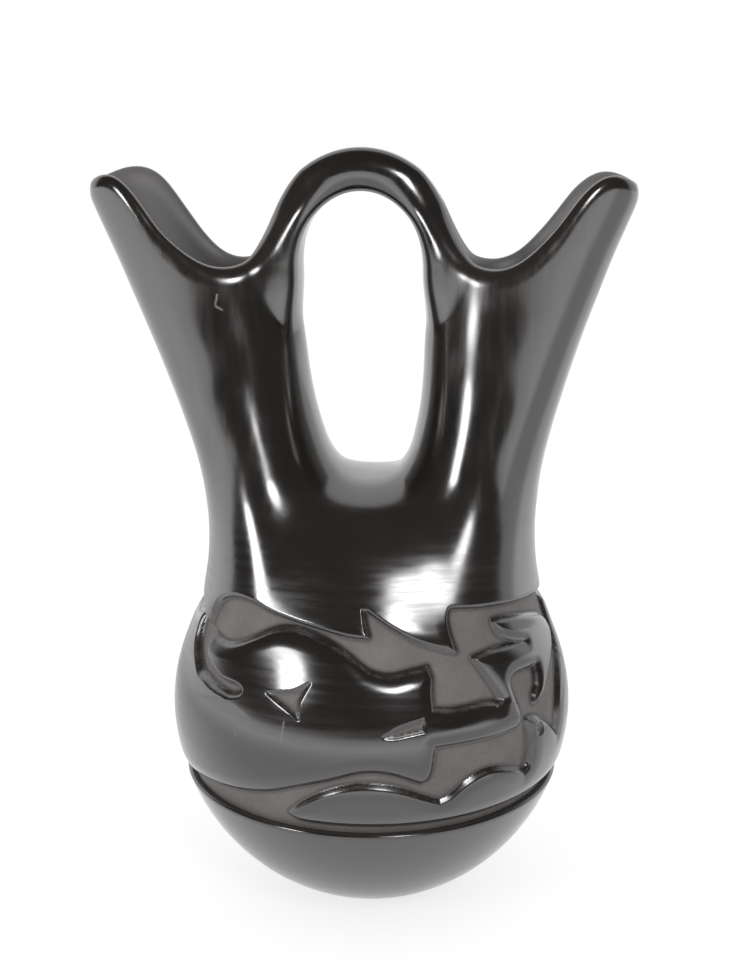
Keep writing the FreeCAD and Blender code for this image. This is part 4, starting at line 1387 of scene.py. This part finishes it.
class JAR_OT_carved_belly(bpy.types.Operator):
    """Make the carved belly and the shoulder above it"""
    bl_idname = "jar.carved_belly"
    bl_label = "Carved belly and shoulder"

    def execute(self, context):
        wall = carved_wall()
        for name, start, end in BELLY_CUTS:
            columns = np.arange(start, end + 1) % ROUND_COLUMNS
            piece = ring_piece("carved_belly_" + name, wall, (0, BELLY_ROWS), (0, INNER_ROWS),
                               columns)
            node = ["carved_belly"] if name == "front" else []
            settle(piece, node, clay(True))
        shoulder = ring_piece("shoulder_piece", wall, (BELLY_ROWS, BELLY_ROWS + SHOULDER_ROWS),
                              (INNER_ROWS, INNER_ROWS + 2), None)
        settle(shoulder, ["shoulder"], clay(True))
        return {"FINISHED"}


class JAR_OT_upper_part(bpy.types.Operator):
    """Make the neck, the saddle, both spouts and the stirrup handle"""
    bl_idname = "jar.upper_part"
    bl_label = "Neck, spouts and handle"

    def execute(self, context):
        sizes = context.scene.jar_sizes
        cell = sizes.cell / MM
        low, high = (Vector(corner) / MM for corner in CAD_BOX)
        side, top = NET_MARGINS
        xs = np.arange(low.x - side, high.x + side + cell, cell)
        ys = np.arange(-HALF_DEPTH, HALF_DEPTH + cell, cell)
        zs = np.arange(UPPER_FLOOR - 2.5 * cell, high.z + top + cell, cell)
        points, quads = surface_net(upper_form, xs, ys, zs, cell)
        whole = make_piece("upper_part", points, [quads])
        joint, crotch, seat = (height / MM for height in (
            sizes.shoulder_top, sizes.crotch_height, sizes.seat_height))
        saddle_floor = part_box("saddle")[1].z / MM - SADDLE_HEIGHT
        saddle_box = ((-SADDLE_HALF_WIDTH, -FAR, saddle_floor), (SADDLE_HALF_WIDTH, FAR, crotch))
        handle_box = ((HANDLE_CUT[0], -FAR, seat), (HANDLE_CUT[1], FAR, CUT_TOP))
        plans = (
            ("neck_piece", "neck", ((-FAR, -FAR, joint), (FAR, FAR, crotch)), saddle_box),
            ("saddle_piece", "saddle", saddle_box, None),
            ("left_spout_piece", "left_spout",
             ((-FAR, -FAR, crotch), (-RIM_LEAN, FAR, CUT_TOP)), handle_box),
            ("right_spout_piece", "right_spout",
             ((-RIM_LEAN, -FAR, crotch), (FAR, FAR, CUT_TOP)), handle_box),
            ("stirrup_handle_piece", "stirrup_handle", handle_box, None),
        )
        for name, node, keep, take in plans:
            piece = bpy.data.objects.new(name, whole.data.copy())
            context.scene.collection.objects.link(piece)
            cut_with(piece, "INTERSECT", *keep)
            if take:
                cut_with(piece, "DIFFERENCE", *take)
            shade_from_form(piece, jar_form)
            settle(piece, [node], clay())
        mesh = whole.data
        bpy.data.objects.remove(whole)
        bpy.data.meshes.remove(mesh)
        return {"FINISHED"}


class JAR_OT_stage(bpy.types.Operator):
    """Make the floor, the light and the camera"""
    bl_idname = "jar.stage"
    bl_label = "Stage"

    def execute(self, context):
        scene = context.scene
        stage = scene.jar_stage
        scene.view_settings.view_transform = "Standard"
        make_floor()
        make_world(scene)
        for box, power in zip(BOXES, (stage.left_power, stage.right_power)):
            soft_box(*box, power)
        camera = bpy.data.cameras.new("camera")
        holder = bpy.data.objects.new("camera", camera)
        scene.collection.objects.link(holder)
        turn = stage.camera_turn
        holder.location = (math.sin(turn) * stage.camera_distance,
                           -math.cos(turn) * stage.camera_distance, stage.camera_height)
        holder.rotation_euler = Euler((math.radians(90) - stage.camera_pitch, 0, turn))
        camera.lens = stage.lens
        camera.sensor_width = FRAME_MM
        camera.shift_x = PICTURE_SHIFT
        scene.camera = holder
        return {"FINISHED"}


def make_floor():
    """A wide pale floor that keeps the jar's shadow. To glossy rays it glows, a painted reflection
    of a lit table that is dimmer near the foot, where this is painted shade, and dimmer far in front
    and on the right."""
    stage = bpy.context.scene.jar_stage
    mesh = bpy.data.meshes.new("floor")
    corners = ((-1, -1), (1, -1), (1, 1), (-1, 1))
    mesh.from_pydata([(FLOOR_HALF * x, FLOOR_HALF * y, 0) for x, y in corners], [],
                     [(0, 1, 2, 3)])
    floor = bpy.data.objects.new("floor", mesh)
    bpy.context.scene.collection.objects.link(floor)
    material = bpy.data.materials.new("floor")
    material.use_nodes = True
    t = Tree(material.node_tree)
    nodes = material.node_tree.nodes
    nodes.clear()
    out = t.add("ShaderNodeOutputMaterial")
    diffuse = t.add("ShaderNodeBsdfDiffuse")
    diffuse.inputs["Color"].default_value = FLOOR_GREY
    glow = t.add("ShaderNodeEmission")
    glow.inputs["Color"].default_value = WHITE
    rays = t.add("ShaderNodeLightPath")
    # The floor's glow in glossy rays: painted light from a lit table, with painted shade near the
    # jar's foot
    x, y, _ = t.axes(t.place())
    far = t.root(t.plus(t.times(x, x), t.times(y, y)))
    table = t.range(far, 0.08, 0.20, stage.near_table, NEAR_FADE * stage.near_table)
    table = t.mix_value(t.range(far, 0.25, 0.70), table, stage.table)
    behind = t.times(t.range(y, -0.12, 0.06), t.range(far, 0.20, 0.40, BEHIND_GAIN, 0.0))
    table = t.times(table, t.plus(behind, 1.0))
    table = t.times(table, t.range(y, -1.2, -0.35, 0.85, 1.0))
    turn = t.math("ARCTAN2", x, t.times(y, -1.0))
    gap = t.minus(t.range(turn, 1.15, 1.35), t.range(turn, 1.85, 2.05))
    gap = t.times(gap, t.range(far, 0.2, 0.5))
    table = t.times(table, t.minus(1.0, t.times(gap, RIGHT_DIM)))
    glow_share = t.mix_value(rays.outputs["Is Glossy Ray"], FLOOR_GLOW, table)
    seen = t.math("MAXIMUM", rays.outputs["Is Camera Ray"], rays.outputs["Is Glossy Ray"])
    t.link(t.times(seen, glow_share), glow.inputs["Strength"])
    both = t.add("ShaderNodeAddShader")
    t.link(diffuse.outputs[0], both.inputs[0])
    t.link(glow.outputs[0], both.inputs[1])
    t.link(both.outputs[0], out.inputs["Surface"])
    mesh.materials.append(material)


def make_world(scene):
    """A white surround behind and beside the jar, and a dim room in front of it."""
    stage = scene.jar_stage
    world = bpy.data.worlds.new("surround")
    scene.world = world
    world.use_nodes = True
    t = Tree(world.node_tree)
    world.node_tree.nodes.clear()
    out = t.add("ShaderNodeOutputWorld")
    background = t.add("ShaderNodeBackground")
    across, ahead, _ = t.axes(t.place("Generated"))
    wall = t.range(across, -0.7, 0.7, stage.left_wall, stage.right_wall)
    wall = t.mix_value(t.range(ahead, 0.72, 0.92), wall, stage.back_wall)
    room = t.mix_value(t.range(ahead, 0.20, 0.44), stage.room, wall)
    background.inputs["Color"].default_value = WHITE
    rays = t.add("ShaderNodeLightPath")
    strength = t.mix_value(rays.outputs["Is Camera Ray"], room, 1.0)
    strength = t.mix_value(rays.outputs["Is Diffuse Ray"], strength, SOFT_WORLD)
    t.link(strength, background.inputs["Strength"])
    t.link(background.outputs[0], out.inputs["Surface"])


def soft_box(name, turn, rise, distance, size, power):
    """A round soft lamp, turn degrees to the right of the front and rise degrees up."""
    lamp = bpy.data.lights.new(name, "AREA")
    lamp.shape = "DISK"
    lamp.size = size
    lamp.energy = power
    holder = bpy.data.objects.new(name, lamp)
    bpy.context.scene.collection.objects.link(holder)
    a, e = math.radians(turn), math.radians(rise)
    away = Vector((math.sin(a) * math.cos(e), -math.cos(a) * math.cos(e), math.sin(e)))
    holder.location = AIM + away * distance
    holder.rotation_euler = away.to_track_quat("Z", "Y").to_euler()


class JAR_PT_panel(bpy.types.Panel):
    """The jar's pieces, sizes and colours"""
    bl_idname = "JAR_PT_panel"
    bl_label = "Wedding jar"
    bl_space_type = "VIEW_3D"
    bl_region_type = "UI"
    bl_category = "Jar"

    def draw(self, context):
        layout = self.layout
        for operator in OPERATORS:
            layout.operator(operator.bl_idname)
        for group in (context.scene.jar_sizes, context.scene.jar_finish, context.scene.jar_stage):
            box = layout.box()
            for name in group.bl_rna.properties.keys():
                if name not in ("rna_type", "name"):
                    box.prop(group, name)


OPERATORS = (JAR_OT_base_bowl, JAR_OT_carved_belly, JAR_OT_upper_part, JAR_OT_stage)
CLASSES = (JarSizes, JarFinish, JarStage) + OPERATORS + (JAR_PT_panel,)


def register():
    for cls in CLASSES:
        bpy.utils.register_class(cls)
    bpy.types.Scene.jar_sizes = PointerProperty(type=JarSizes)
    bpy.types.Scene.jar_finish = PointerProperty(type=JarFinish)
    bpy.types.Scene.jar_stage = PointerProperty(type=JarStage)


def unregister():
    del bpy.types.Scene.jar_stage
    del bpy.types.Scene.jar_finish
    del bpy.types.Scene.jar_sizes
    for cls in reversed(CLASSES):
        bpy.utils.unregister_class(cls)


def main():
    register()
    bpy.ops.jar.stage()
    bpy.ops.jar.base_bowl()
    bpy.ops.jar.carved_belly()
    bpy.ops.jar.upper_part()


if __name__ == "__main__":
    main()
